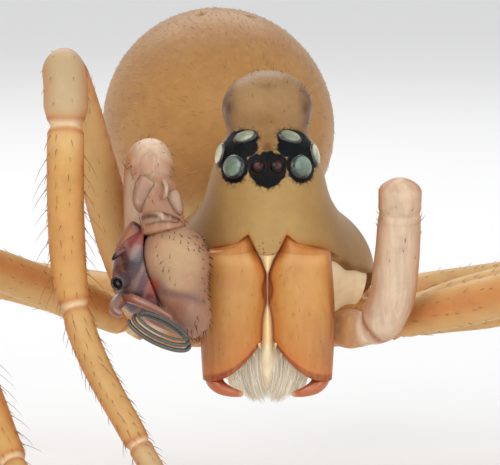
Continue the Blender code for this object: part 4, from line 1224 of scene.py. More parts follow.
def scopulae(coat):
    """The pale brushes of the maxillae: strands that fan from under the jaws to the midline below."""
    rng = np.random.default_rng(SEEDS["scopulae"])
    count = HAIR_COUNTS["scopulae"]
    *_, bottom, _, drop = CHELICERA[-1]
    (near, wide), (front, deep) = BRUSH_ROOTS
    (tip_near, tip_wide), (tip_front, tip_deep), (tip_low, tip_dip) = BRUSH_TIPS
    bunches = []
    for number, side in enumerate(SIDES):
        share = rng.uniform(0, 1, count) ** 0.9
        layer = rng.uniform(0, 1, count)
        edge = bottom + drop * ((1 - 0.60 * share) ** JAW_CURVE - 1)
        starts = np.stack([near + wide * share, front + deep * layer, edge - 0.004], -1)
        ends = np.stack([tip_near + tip_wide * share ** 1.7, tip_front + tip_deep * layer,
                         tip_low + tip_dip * np.sin(math.pi * np.clip(share * 1.25, 0, 1))], -1)
        ends = ends + rng.normal(0, 0.008, ends.shape)
        middles = np.stack([starts[:, 0] * 0.80 + rng.normal(0.014, 0.008, count), starts[:, 1] - 0.022,
                            ends[:, 2] + 0.36 * (starts[:, 2] - ends[:, 2])], -1)
        places = map_place(share, layer, (number * 0.5, 0, 0.5, 1))
        shade = tinted(BRUSH_CREAM, BRUSH_GREY, rng.uniform(0, 1, count) ** 2)
        thick = rng.uniform(0.0009, 0.0020, count)
        starts, middles, ends = (mirrored(points, side) for points in (starts, middles, ends))
        bunches.append(strands(starts, middles, ends, thick, places, shade))
    piece("scopula_hairs", joined(bunches), coat, "underside")


def direction(turn, rise, side):
    """Unit vector turned outward from straight ahead and raised, both in degrees."""
    turn, rise = math.radians(turn), math.radians(rise)
    return mirrored((math.sin(turn) * math.cos(rise), -math.cos(turn) * math.cos(rise), math.sin(rise)), side)


def leg_joints(side, number):
    """The leg's joints from the end of the trochanter down to the toe on the floor."""
    joints = [mirrored(COXAE[number][1], side)]
    *angles, last_turn = POSE[(side, number)]
    lengths = SEGMENTS[number]
    for (turn, rise), length in zip(angles, lengths):
        joints.append(joints[-1] + direction(turn, rise, side) * length)
    toe_height = TOE_LENGTH * math.sin(math.radians(TOE_DROP))
    drop = math.degrees(math.asin((toe_height - joints[-1][2]) / lengths[4]))
    joints.append(joints[-1] + direction(last_turn, drop, side) * lengths[4])
    joints.append(joints[-1] + direction(last_turn, -TOE_DROP, side) * TOE_LENGTH)
    return joints


def bend(before, corner, after, radius):
    """Start, middle and end of an arc that rounds a corner of a path."""
    back, ahead = unit(before - corner), unit(after - corner)
    half = (math.pi - math.acos(float(back @ ahead))) / 2
    cut = radius * math.tan(half)
    middle = corner + unit(back + ahead) * radius * (1 / math.cos(half) - 1)
    return corner + back * cut, middle, corner + ahead * cut


def leg_line(side, number):
    """Path of a leg, distances along it, the knots' distances and the vector across its plane.

    Knots 0, 2, 5, 7, 8, 9 and 11 are the root, hip, knee, patella's end, tibia's end, the joint
    within the foot and the toe.
    """
    root = mirrored(COXAE[number][0], side)
    hip, knee, *lower = leg_joints(side, number)
    knots = [root, *bend(root, hip, knee, HIP_RADIUS), *bend(hip, knee, lower[0], KNEE_RADIUS), *lower]
    path = spline(knots, LIMB_STEPS)
    run = lengths_along(path)
    marks = run[np.arange(len(knots)) * LIMB_STEPS]
    marks[7] += PATELLA_REACH.get((side, number), 0)
    reach = lower[-1] - root
    across = unit(np.array((reach[1], -reach[0], 0)))
    if np.cross(across, unit(path[LIMB_STEPS + 10] - path[LIMB_STEPS]))[2] < 0:
        across = -across
    return path, run, marks, across


def radii_along(parts, marks, distances):
    """Radius at distances along a limb, from the profile of the part that each lies in."""
    radii = np.zeros_like(distances)
    for *_, first, last, profile in parts:
        within = (distances >= marks[first]) & (distances <= marks[last])
        share = (distances - marks[first]) / (marks[last] - marks[first])
        radii = np.where(within, read_profile(profile, share), radii)
    return radii


# Joints of a leg: knot and half width of the pale band, the trochanter's at a share of the coxa's run
LEG_JOINTS = ((2, 0.012), (5, 0.016), (7, 0.010), (8, 0.009), (9, 0.007))
TROCHANTER_SHARE = 0.76
TROCHANTER_HALF = 0.009
LEG_OVAL = 0.03

# A joint's band, from its narrower top to its underside, then the rims and collars beside it as reach
# in band widths and half width, the depth of the pinch and the rims' height
BAND_WIDTHS = (0.75, 0.80)
RIM = (2.1, 0.005)
COLLAR_REACH = 2.2
COLLAR_HALVES = (0.014, 0.012)
PINCH = 0.13
RIM_HEIGHT = 0.0015

# Colours between the root, trochanter, hip, knee, patella's end, tibia's end, foot joint and toe, then the
# markings: tibia and foot are shares of a part's length, past_hip and past_patella are distances
LEG_SHADES = (tinted(AMBER, ORANGE, 0.2), AMBER, tinted(AMBER, CREAM, 0.35), PATELLA_GREY, AMBER,
              tinted(AMBER, TARSUS_GREY, 0.25), TARSUS_GREY)
LEG_MARKINGS = (
    (ORANGE, 0.16, (bell, "tibia", 0.5, 0.36)),
    (tinted(AMBER, CREAM, 0.6), 0.60, (bell, "past_patella", 0.04, 0.06)),
    # Orange down the flanks: partly the leg's own side streaks and partly painted shade for the darker edges
    # of its translucent cuticle.
    (ORANGE, 0.62, (plain, "flank"), (step, "past_hip", 0, 0.05), (step, "foot", 1, 0)),
)


def leg(side, number, coat):
    """One leg's skin from the coxa to the toe, pinched and pale at each joint, its toe cut level."""
    path, run, marks, across = leg_line(side, number)
    rings, sides = GRIDS["leg"]
    distances = np.linspace(0, run[-1], rings)
    centres = places_at(path, run, distances)
    tangents, across_at, up_at = frames_along(centres, across)
    angle = turns(sides)
    radii = (radii_along(LEG_PARTS, marks, distances) * LEG_SCALE[number])[:, None]
    radii = radii * (1 + LEG_OVAL * np.cos(2 * angle))
    trochanter = marks[0] + (marks[2] - marks[0]) * TROCHANTER_SHARE
    d = distances[:, None]
    stops = (0, trochanter, *marks[[2, 5, 7, 8, 9, 11]])
    tint = np.zeros((rings, sides, 3))
    for start, end, shade in zip(stops, stops[1:], LEG_SHADES):
        tint = np.where(((d >= start) & (d <= end))[..., None], shade, tint)
    below = (1 - np.cos(angle)) / 2
    flank = np.abs(np.sin(angle)) ** 4
    tint = marked(tint, LEG_MARKINGS, flank=flank, past_hip=d - marks[2], past_patella=d - marks[7],
                  tibia=(d - marks[7]) / (marks[8] - marks[7]), foot=(d - marks[9]) / (marks[11] - marks[9]))
    for joint, half in [(marks[knot], half) for knot, half in LEG_JOINTS] + [(trochanter, TROCHANTER_HALF)]:
        width = half * (BAND_WIDTHS[0] + BAND_WIDTHS[1] * below)
        rim = beside(d, joint, RIM[0] * width, RIM[1])
        collar = (bell(d, joint - COLLAR_REACH * width, COLLAR_HALVES[0])
                  + bell(d, joint + COLLAR_REACH * width, COLLAR_HALVES[1]))
        radii = radii * (1 - PINCH * bell(d, joint, width)) + RIM_HEIGHT * rim
        tint = tinted(tint, ORANGE, np.clip(collar, 0, 1) * 0.45)
        # Towards the flanks the rims darken and the pale bands fade, the same painted edge shade.
        tint = tinted(tint, RED_BROWN, np.clip(rim, 0, 1) * (0.20 + 0.55 * flank))
        band = np.clip(bell(d, joint, width * 1.25) * 1.2, 0, 1)
        tint = tinted(tint, MEMBRANE, band * (0.75 - 0.4 * flank))
    start = np.clip(distances / 0.04, 0, 1)
    radii = radii * np.sqrt(1 - (1 - start) ** 2 * 0.9)[:, None]
    grid = centres[:, None] + spokes_round(across_at, up_at, sides) * radii[..., None]
    down = tangents[:, None]
    under = np.minimum(grid[..., 2], 0) / np.minimum(down[..., 2], -0.2)
    grid = grid - down * under[..., None]
    nodes = [f"leg_{number}_{kind}_{side}" for kind in LEG_NODES]
    piece(f"leg_{number}_{side}_skin", closed(grid, tint), coat, "leg", *nodes)


def on_limb(path, run, distances, angles, across, radii, reach):
    """Roots, normals and tangents of hairs at distances along a limb and angles round it.

    A tangent joins the places at a reach before and after.
    """
    tangents = unit(places_at(path, run, distances + reach) - places_at(path, run, distances - reach))
    across_at = unit(across - tangents * (tangents @ across)[:, None])
    up_at = np.cross(across_at, tangents)
    normals = up_at * np.cos(angles)[:, None] + across_at * np.sin(angles)[:, None]
    return places_at(path, run, distances) + normals * radii[:, None], normals, tangents


# Rows of bristles on a leg: knot and distance past it where they start, knot and distance where they
# end, rows round the leg, gap along it, length, half width and lift in radians
LEG_BRISTLES = (
    (0, 0.05, 2, 0.0, 6, 0.062, 0.026, 0.0012, 0.55),
    (2, 0.04, 5, -0.03, 8, 0.056, 0.034, 0.0013, 0.45),
    (5, 0.03, 7, -0.02, 7, 0.060, 0.034, 0.0013, 0.50),
    (7, 0.02, 8, -0.015, 9, 0.048, 0.038, 0.0014, 0.42),
    (8, 0.015, 9, -0.01, 9, 0.036, 0.050, 0.0014, 0.50),
    (9, 0.01, 11, -0.045, 10, 0.026, 0.046, 0.0013, 0.60),
)
BRISTLES_KEPT = 0.78

# Long fine hairs down the tibia's two flanks: start past the patella, end before the foot, and gap
TIBIA_HAIRS = (0.10, -0.02, 0.052)
TIBIA_HAIR_TURN = 1.45
BRISTLE_TONES = (colour(88, 58, 34), colour(160, 116, 72))

# Claws: how far they spread sideways and how long they are, then their lift and thickness
CLAWS = ((-0.010, 0.036), (0.010, 0.036), (0.0, 0.020))
CLAW_LIFT = 0.014
CLAW_RADIUS = 0.0036


def leg_hairs(side, number, coat):
    """Bristles in rows along a leg, longer on the tibia and foot, and the claws at its toe."""
    rng = np.random.default_rng(SEEDS["leg"] * number + (side == "right"))
    path, run, marks, across = leg_line(side, number)
    rows = []
    for first, past, last, short, around, gap, length, thick, lift in LEG_BRISTLES:
        end = marks[last] + short
        d, row = np.meshgrid(np.arange(marks[first] + past, end, gap), np.arange(around), indexing="ij")
        d = d + (row % 3) * gap / 3 + rng.normal(0, gap * 0.16, d.shape)
        turn = 2 * math.pi * (row + 0.5) / around + rng.normal(0, 0.09, d.shape)
        keep = (d < end) & (rng.uniform(size=d.shape) < BRISTLES_KEPT)
        count = keep.sum()
        rows.append((d[keep], turn[keep], length * rng.uniform(0.7, 1.25, count), np.full(count, thick),
                     lift * rng.uniform(0.7, 1.3, count)))
    fine = np.arange(marks[7] + TIBIA_HAIRS[0], marks[8] + TIBIA_HAIRS[1], TIBIA_HAIRS[2])
    count = len(fine)
    for turn in (TIBIA_HAIR_TURN, -TIBIA_HAIR_TURN):
        rows.append((fine + rng.normal(0, 0.006, count), turn + rng.normal(0, 0.12, count),
                     rng.uniform(0.085, 0.125, count), np.full(count, 0.0012),
                     rng.uniform(0.55, 0.85, count)))
    rows = np.hstack(rows)
    d, angles, longs, thicks, lifts = rows[:, np.argsort(rows[0])]
    radii = radii_along(LEG_PARTS, marks, d) * LEG_SCALE[number]
    roots, normals, tangents = on_limb(path, run, d, angles, across, radii, 0.01)
    places = map_place(d / run[-1], (angles / (2 * math.pi)) % 1.0)
    lie = tangents + normals * 0.1 + rng.normal(0, 0.10, tangents.shape)
    shade = tinted(*BRISTLE_TONES, rng.uniform(0.0, 1.0, len(d)))
    hairs = combed_hairs(roots, normals, lie, longs, thicks * 0.8, lifts, 0.22, places, shade, collar=0.7)
    hairs.points[:, 2] = np.maximum(hairs.points[:, 2], 0.0005)
    forward = unit((path[-1] - path[-8]) * (1, 1, 0))
    sideways = np.cross(Z_AXIS, forward)
    claws = []
    for spread, length in CLAWS:
        root = path[-1] + Z_AXIS * CLAW_LIFT + sideways * spread * 0.6 - forward * 0.006
        hook = [root, root + forward * length * 0.55 + sideways * spread * 0.6 + Z_AXIS * 0.006,
                root + forward * length + sideways * spread - Z_AXIS * 0.011]
        line = spline(hook, 8)
        radii = CLAW_RADIUS * (1 - 0.85 * np.linspace(0, 1, len(line)))
        claw = closed(rings_about(line, radii, 6, sideways), DARK_BROWN)
        claw.places = np.broadcast_to(map_place(1.0, 0.5), (len(claw.points), 2)) + 0.001
        claws.append(claw)
    piece(f"leg_{number}_{side}_bristles", joined([hairs] + claws), coat, "leg")


def palp_line(side):
    """Path of a palp, distances along it and the distance of each knot."""
    path = spline(mirrored(PALP[side], side), LIMB_STEPS)
    run = lengths_along(path)
    return path, run, run[np.arange(len(PALP[side])) * LIMB_STEPS]


def horn(radius, points, steps, sides, slim):
    """A curved blunt horn: its rings, the share along it, and how far round its flanks each side lies."""
    line = spline(points, steps)
    share = np.linspace(0, 1, len(line))
    width = radius * (1 - slim * share ** 1.6) * blunt(share, lengths_along(line)[-1], 0.012, 0.008)
    grid = rings_about(line, np.maximum(width, 0.0008), sides, X_AXIS)
    return grid, share[:, None], np.abs(np.sin(turns(sides)))


# Palp: share of the femur's run where the trochanter ends, how oval it is, the half width and depth of
# a joint's pinch, the rims beside it as reach, half width and height, and the tip's rounding
PALP_TROCHANTER = 0.235
PALP_OVAL = 0.02
PALP_PINCH = (0.010, 0.03)
PALP_RIM = (0.020, 0.005, 0.0005)
PALP_END = {"left": 0.050, "right": 0.020}
PALP_MARKINGS = (
    (tinted(AMBER, ORANGE, 0.3), 0.85, (step, "femur", PALP_TROCHANTER, 0.20)),
    # Orange down the flanks past the trochanter: partly the palp's own tone and partly painted shade for the
    # darker edges of its translucent cuticle.
    (PALP_ORANGE, 0.75, (plain, "flank"), (step, "femur", 0.2, 0.3)),
)
PALP_TIBIA_TONE = tinted(PALP_ORANGE, SPOON_MAUVE, 0.6)
PALP_BASE_LINE = tinted(ORANGE, RED_BROWN, 0.6)
SPUR_TONE = tinted(PALP_PINK, SPOON_MAUVE, 0.7)


def palp(side, coat):
    """One palp's skin from the trochanter to the patella, or on the right side to the tibia's spurs."""
    path, run, marks = palp_line(side)
    rings, sides = GRIDS["palp"]
    distances = run[-1] * np.sin(np.linspace(0, math.pi / 2, rings))
    centres = places_at(path, run, distances)
    angle = turns(sides)
    femur_end = marks[PALP_PARTS[side][0][2]]
    trochanter = femur_end * PALP_TROCHANTER
    radii = radii_along(PALP_PARTS[side], marks, distances)[:, None] * (1 + PALP_OVAL * np.cos(2 * angle))
    d = distances[:, None]
    flank = np.abs(np.sin(angle)) ** 4
    tint = marked(PALP_PINK, PALP_MARKINGS, femur=d / femur_end, flank=flank)
    if side == "right":
        tint = tinted(tint, PALP_TIBIA_TONE, step(d, marks[8], marks[9]) * 0.85)
    for joint in [marks[last] for *_, last, _ in PALP_PARTS[side][:-1]] + [trochanter]:
        pinch = bell(d, joint, PALP_PINCH[0])
        rim = beside(d, joint, *PALP_RIM[:2])
        radii = radii * (1 - PALP_PINCH[1] * pinch) + PALP_RIM[2] * rim
        # The rims darken towards the flanks, the same painted edge shade.
        tint = tinted(tint, RED_BROWN, np.clip(rim, 0, 1) * (0.04 + 0.30 * flank))
        if joint == trochanter:
            tint = tinted(tint, PALP_BASE_LINE, bell(d, joint + 0.030, 0.007) * 0.8)
            tint = tinted(tint, MEMBRANE, bell(d, joint, 0.018) * 0.7)
        tint = tinted(tint, MEMBRANE, pinch * 0.2)
    ends = blunt(distances / run[-1], run[-1], 0.03, PALP_END[side])
    radii = np.maximum(radii * ends[:, None], 0.001)
    parts = [closed(rings_about(centres, radii, sides, X_AXIS), tint)]
    nodes = [f"palp_{kind}_{side}" for kind, *_ in PALP_PARTS[side]]
    if side == "right":
        for spur_radius, spur in TIBIA_SPURS:
            grid, share, edge = horn(spur_radius, spur, 14, 26, 0.62)
            shade = tinted(SPUR_TONE, RED_BROWN, step(share, 0.50, 0.95) * 0.6)
            # Dark brown down the spurs' flanks: partly their dark fold lines and partly painted shade where
            # they turn away from the front.
            parts.append(closed(grid, tinted(shade, DARK_BROWN, edge ** 5 * 0.85)))
    piece(f"palp_{side}_skin", joined(parts), coat, "palp", *nodes)


# Where a palp's bristles grow: knot that they start at and distance before the tip where they end
PALP_HAIRS = {"left": (4, 0.06), "right": (6, 0.01)}


def palp_hairs(side, coat):
    """Short bristles over a palp's patella, tibia and the end of its femur."""
    rng = np.random.default_rng(SEEDS["palp"] + (side == "right"))
    path, run, marks = palp_line(side)
    count = HAIR_COUNTS[side]
    knot, short = PALP_HAIRS[side]
    d = rng.uniform(marks[knot], run[-1] - short, count)
    angles = rng.uniform(0, 2 * math.pi, count)
    radii = radii_along(PALP_PARTS[side], marks, d)
    roots, normals, tangents = on_limb(path, run, d, angles, X_AXIS, radii, 0.005)
    places = map_place(d / run[-1], angles / (2 * math.pi))
    lie = tangents + rng.normal(0, 0.25, tangents.shape)
    shade = tinted(DARK_BROWN, colour(140, 96, 58), rng.uniform(0.0, 0.9, count))
    hairs = combed_hairs(roots, normals, lie, rng.uniform(0.016, 0.034, count), 0.0012,
                         rng.uniform(0.3, 0.8, count), 0.25, places, shade, collar=0.8)
    piece(f"palp_{side}_bristles", hairs, coat, "palp")


SPOON_FRONT = 0.3
SPOON_BROWN = tinted(SPOON_MAUVE, RED_BROWN, 0.45)

# Painted highlight on the spoon, a cream patch on the front of its dome: its centre and half sizes. Away is
# the distance from it in half sizes, and fold the height above the fold between dome and tip
SPOON_HIGHLIGHT_PLACE = ((-0.288, -0.215, 0.905), (0.100, 0.16, 0.115))
SPOON_MARKINGS = (
    (SPOON_HIGHLIGHT_TONE, 1, (step, "away", 1.12, 0.60)),
    # Violet along the fold between dome and tip: painted shade in the crease.
    (SPOON_VIOLET, 0.70, (bell, "fold", 0, 0.014), (step, "x", -0.180, -0.23)),
    (SPOON_VIOLET, 0.50, (step, "x", -0.305, -0.335), (bell, "z", 0.83, 0.05)),
    (SPOON_VIOLET, 0.35, (step, "z", 1.01, 1.05)),
    (BULB_RED, 0.70, (step, "x", -0.330, -0.352), (bell, "z", 0.835, 0.022)),
    (SPOON_BROWN, 0.75, (step, "x", -0.235, -0.275), (bell, "z", 0.755, 0.035)),
    (SPOON_VIOLET, 0.50, (bell, "z", 0.700, 0.03), (step, "x", -0.21, -0.26)),
    (RED_BROWN, 0.30, (step, "x", -0.190, -0.170), (step, "z", 0.75, 0.85)),
    (DARK_BROWN, 0.30, (step, "z", 0.662, 0.640)),
)

# Rows of bristles on the spoon: first and last tilt, count, first and last turn, and length
SPOON_BRISTLES = (
    (44, 148, 12, -16, -20, 0.020), (54, 128, 6, -36, -44, 0.015), (58, 140, 8, 6, 12, 0.022),
    (84, 128, 4, -102, -112, 0.014), (112, 134, 4, -120, -134, 0.014),
    (50, 150, 10, 34, 34, 0.022), (50, 150, 10, 64, 64, 0.024), (50, 150, 9, 90, 90, 0.024),
    (8, 36, 7, -80, -50, 0.028), (10, 36, 7, -30, -10, 0.028), (10, 32, 5, 30, 40, 0.028),
    (148, 146, 12, -150, 10, 0.018), (156, 155, 10, -150, 20, 0.020), (141, 139, 7, -80, 0, 0.016),
)


def spoon(coat, hair_coat):
    """The cymbium: a leaning dome over a narrower tip, a painted cream highlight in its middle, mauve below,
    with bristles.
    """
    grid, poles = cast_skin(cymbium_field, SPOON_CORE, GRIDS["spoon"], 0.5, SPOON_FRONT)
    x, _, z = axes(grid).values()
    centre, half = np.array(SPOON_HIGHLIGHT_PLACE)
    fold = z - 0.806 + 0.16 * (x + 0.28) + 3.0 * np.clip(x + 0.27, 0, 1) ** 2
    tint = marked(SPOON_MAUVE, SPOON_MARKINGS, **axes(grid), fold=fold,
                  away=np.linalg.norm((grid - centre) / half, axis=-1))
    piece("cymbium_skin", closed(grid, tint, *poles), coat, "palp", "palp_cymbium_right")
    rng = np.random.default_rng(SEEDS["spoon"])
    tilts, turned, longs = (np.concatenate(rows) for rows in zip(*(
        (np.linspace(low, high, count), np.linspace(first, last, count), np.full(count, length))
        for low, high, count, first, last, length in SPOON_BRISTLES)))
    tilts = np.radians(tilts) + rng.normal(0, 0.03, len(tilts))
    turned = np.radians(turned) + rng.normal(0, 0.05, len(turned))
    longs = longs * rng.uniform(0.8, 1.3, len(longs))
    roots = cast(cymbium_field, np.array(SPOON_CORE), ways_of(tilts, turned), 0.5)
    normals = normals_at(cymbium_field, roots)
    lie = np.array((0.1, -0.1, -1.0)) + rng.normal(0, 0.2, roots.shape)
    places = map_place(tilts / math.pi, (turned / (2 * math.pi)) % 1.0)
    hairs = combed_hairs(roots, normals, lie, longs, 0.0017, rng.uniform(0.5, 1.0, len(roots)), 0.2, places,
                         DARK_BROWN, collar=2.6)
    piece("cymbium_bristles", hairs, hair_coat, "palp")


# Markings of the bulb, where slant is a height that falls outward, then the tones of plates and horn
BULB_MARKINGS = (
    (SPOON_MAUVE, 0.35, (step, "wave", 0.45, 1.0)),
    (BULB_RED, 0.45, (step, "z", 0.93, 0.97)),
    (BULB_RED, 0.95, (bell, "z", 0.825, 0.035), (step, "x", -0.40, -0.35)),
    (BULB_RED, 0.50, (bell, "z", 0.895, 0.02), (step, "x", -0.44, -0.47)),
    (INK, 0.60, (bell, "slant", 0.905, 0.018)),
)
PLATE_TONES = (tinted(SPOON_MAUVE, BULB_PURPLE, 0.25), SPOON_BROWN, SPOON_BROWN,
               tinted(tinted(ORANGE, SPOON_MAUVE, 0.4), MARGIN_BROWN, 0.4))
HORN_TONE = tinted(DARK_BROWN, RED_BROWN, 0.4)

# Mouth of the stub, ring by ring after its last: offset, and radius as a share of the stub's own
STUB_SIDES = 26
STUB_MOUTH = (
    ((0.0, 0.0, 0.0), 0.86), ((0.001, 0.004, 0), 0.66), ((0.004, 0.014, 0.001), 0.58),
    ((0.006, 0.020, 0.002), 0.2),
)
STUB_DARK = colour(10, 8, 10)


def stub():
    """The open stub on the bulb: a tube whose last rings turn back into its mouth."""
    line = spline(STUB, 12)
    share = np.linspace(0, 1, len(line))
    outer = STUB_RADIUS * (1.15 - 0.2 * share)
    inward = len(STUB_MOUTH)
    path = np.vstack([line, line[-1] + np.array([offset for offset, _ in STUB_MOUTH])])
    radii = np.concatenate([outer, outer[-1] * np.array([size for _, size in STUB_MOUTH])])
    _, side, up = frames_along(line, Z_AXIS)
    side = np.vstack([side, np.repeat(side[-1:], inward, axis=0)])
    up = np.vstack([up, np.repeat(up[-1:], inward, axis=0)])
    shade = tinted(BULB_PURPLE, SLATE, step(share, 0.3, 1.0) * 0.6)
    shade = np.vstack([shade, np.tile(STUB_DARK, (inward, 1))])
    return closed(path[:, None] + spokes_round(side, up, STUB_SIDES) * radii[:, None, None], shade[:, None])


def bulb(coat):
    """The palp organ: a ridged dark bulb, its open stub, folded plates and a horn."""
    grid, poles = cast_skin(bulb_field, BULB_CORE, GRIDS["bulb"], 0.4)
    x, _, z = axes(grid).values()
    wave = np.sin((z + 0.6 * x) * 60 + 5 * np.sin(x * 40)) * 0.5 + 0.5
    tint = marked(BULB_PURPLE, BULB_MARKINGS, **axes(grid), wave=wave, slant=z - 0.3 * (x + 0.42))
    parts = [closed(grid, tint, *poles), stub()]
    for (plate_radius, plate), tone in zip(PLATES, PLATE_TONES):
        grid, share, edge = horn(plate_radius, plate, 16, 30, 0.55)
        shade = tinted(tone, BULB_PURPLE, step(share, 0.25, 0.0))
        # Darker red down the plates' flanks: partly their own edges and partly painted shade where they turn
        # away from the front.
        parts.append(closed(grid, tinted(shade, BULB_RED * 0.6, edge ** 4 * 0.6)))
    grid, share, _ = horn(*HORN, 14, 24, 0.75)
    parts.append(closed(grid, tinted(HORN_TONE, INK, step(share, 0.2, 0.8))))
    piece("bulb_skin", joined(parts), coat, "bulb", "palp_bulb_right")


COIL_RINGS = 420
COIL_SIDES = 14
COIL_GROOVE = colour(36, 34, 32)


def embolus(coat):
    """The coiled embolus: u = a cos t, v = b sin t and a steady rise w, tilted, rolled and thinning."""
    share = np.linspace(0, 1, COIL_RINGS)
    turn = 2 * math.pi * COIL_TURNS * share
    size = 1.0 - COIL_SHRINK * share
    u = COIL_HALF[0] * size * np.cos(turn + math.pi)
    v = COIL_HALF[1] * size * np.sin(turn + math.pi)
    w = COIL_PITCH * (turn / (2 * math.pi) - COIL_TURNS / 2)
    lifted = v * math.cos(COIL_TILT) + w * math.sin(COIL_TILT)
    depth = -w * math.cos(COIL_TILT) + v * math.sin(COIL_TILT)
    path = np.stack([COIL_CENTRE[0] + u * math.cos(COIL_ROLL) - lifted * math.sin(COIL_ROLL),
                     COIL_CENTRE[1] + depth,
                     COIL_CENTRE[2] + u * math.sin(COIL_ROLL) + lifted * math.cos(COIL_ROLL)], -1)
    radii = COIL_WIRE * (1.0 - COIL_TAPER * share ** 2) * blunt(share, 1.2, 0.02, 0.02)
    axis = unit(np.cross(path[20] - path[0], path[60] - path[0]))
    grid = rings_about(path, np.maximum(radii, 0.0006), COIL_SIDES, axis)
    groove = bell(np.arange(COIL_SIDES) % (COIL_SIDES // 2), 3, 1.2)
    tint = tinted(SLATE, COIL_GROOVE, groove * 0.8)
    piece("embolus_coil", closed(grid, tint[None]), coat, "embolus", "palp_embolus_right")


# Sunken spots on the abdomen's back: distance behind its middle and half width, then their distance
# from the midline and height; lungs below it: place aside and forward, half width and half length
ABDOMEN_SPOTS = ((-0.10, 0.016), (0.14, 0.014))
SPOT_PLACE = (0.085, 0.40)
SPOT_DEPTH = 0.010
ABDOMEN_LEAN = 0.28
LUNG = (0.16, 0.30, 0.075, 0.09)

# Pale chevrons across the back: distance behind the middle and half width. In the markings rise is the
# height above the middle as a share of the half height
CHEVRONS = ((0.12, 0.020), (0.22, 0.018), (0.31, 0.015))
ABDOMEN_MARKINGS = (
    (ABDOMEN_BROWN, 0.45, (step, "rise", 0.2, 0.95)),
    (ABDOMEN_PALE, 0.60, (step, "rise", -0.35, -0.85)),
    (ABDOMEN_PALE, 0.45, (plain, "bars"), (step, "rise", 0.35, 0.7), (bell, "aside", 0, 0.2)),
    (CREAM, 0.60, (plain, "lungs"), (step, "rise", -0.3, -0.6)),
    (MARGIN_BROWN, 0.60, (bell, "furrow", 0, 0.008), (step, "rise", -0.55, -0.75), (plain, "in_furrow")),
)
ABDOMEN_HAIR_TONES = (colour(150, 112, 66), colour(214, 186, 136))


def dented_abdomen(p):
    """The abdomen's field with four sunken spots on its back."""
    shape = abdomen_field(p)
    for hand in (-1, 1):
        for back, size in ABDOMEN_SPOTS:
            spot = np.array(ABDOMEN[0]) + (hand * SPOT_PLACE[0] - back * ABDOMEN_LEAN, back, SPOT_PLACE[1])
            shape = shape + SPOT_DEPTH * np.exp(-np.sum(((p - spot) / size) ** 2 * np.array((1, 1, 0.1)), -1))
    return shape


def abdomen(coat, hair_coat):
    """The abdomen's skin on its ringed stalk, with pale chevrons, lungs and furrow, and fine lying hairs."""
    core = np.array(ABDOMEN[0])
    grid, poles = cast_skin(dented_abdomen, core, GRIDS["abdomen"], 1.2)
    x, y, z = axes(grid - core).values()
    rise = z / ABDOMEN[1][2]
    aside = x + ABDOMEN_LEAN * y
    bars = sum(bell(y - np.abs(aside) * 0.55, middle, half) for middle, half in CHEVRONS)
    lungs = sum(bell(aside, hand * LUNG[0], LUNG[2]) * bell(y, -LUNG[1], LUNG[3]) for hand in (-1, 1))
    tint = marked(ABDOMEN_GOLD, ABDOMEN_MARKINGS, rise=rise, aside=aside, bars=np.clip(bars, 0, 1),
                  lungs=np.clip(lungs, 0, 1), furrow=y + 0.17 - aside ** 2 * 1.2,
                  in_furrow=np.abs(aside) < 0.25)
    parts = [closed(grid, tint, *poles)]
    line = spline(STALK, 12)
    ridge = STALK_RADIUS * (0.82 + 0.05 * np.cos(np.linspace(0, 10 * math.pi, len(line))))
    parts.append(closed(rings_about(line, ridge, 32, X_AXIS), tinted(ABDOMEN_BROWN, CREAM, 0.3)))
    piece("abdomen_skin", joined(parts), coat, "abdomen", "abdomen")
    rng = np.random.default_rng(SEEDS["abdomen"])
    count = HAIR_COUNTS["abdomen"]
    spiral = np.arange(count) + 0.5
    tilt = np.arccos(1 - 2 * spiral / count)
    turn = math.pi * (1 + 5 ** 0.5) * spiral
    tilt = tilt + rng.normal(0, 0.012, count)
    turn = turn + rng.normal(0, 0.02, count)
    roots = cast(abdomen_field, core, ways_of(tilt, turn), 1.2)
    normals = normals_at(abdomen_field, roots)
    lie = np.array((-ABDOMEN_LEAN, 1.0, -0.1)) + rng.normal(0, 0.16, roots.shape)
    places = map_place(tilt / math.pi, (turn / (2 * math.pi)) % 1.0)
    shade = tinted(*ABDOMEN_HAIR_TONES, rng.uniform(0, 1, count))
    hairs = combed_hairs(roots, normals, lie, rng.uniform(0.028, 0.046, count), 0.0011,
                         rng.uniform(0.12, 0.32, count), 0.18, places, shade)
    piece("abdomen_hairs", hairs, hair_coat, "abdomen")


# Spinnerets: place along the mound's radius, size and distance from the midline, and one cone's profile
SPINNERET_PAIRS = ((-0.6, 1.0, 0.50), (0.0, 0.6, 0.22), (0.6, 0.9, 0.50))
SPINNERET_PROFILE = ((0, 0.021), (0.55, 0.0185), (0.62, 0.0165), (1.0, 0.010))
SPINNERET_AIM = (-0.12, 0.4, -0.3)


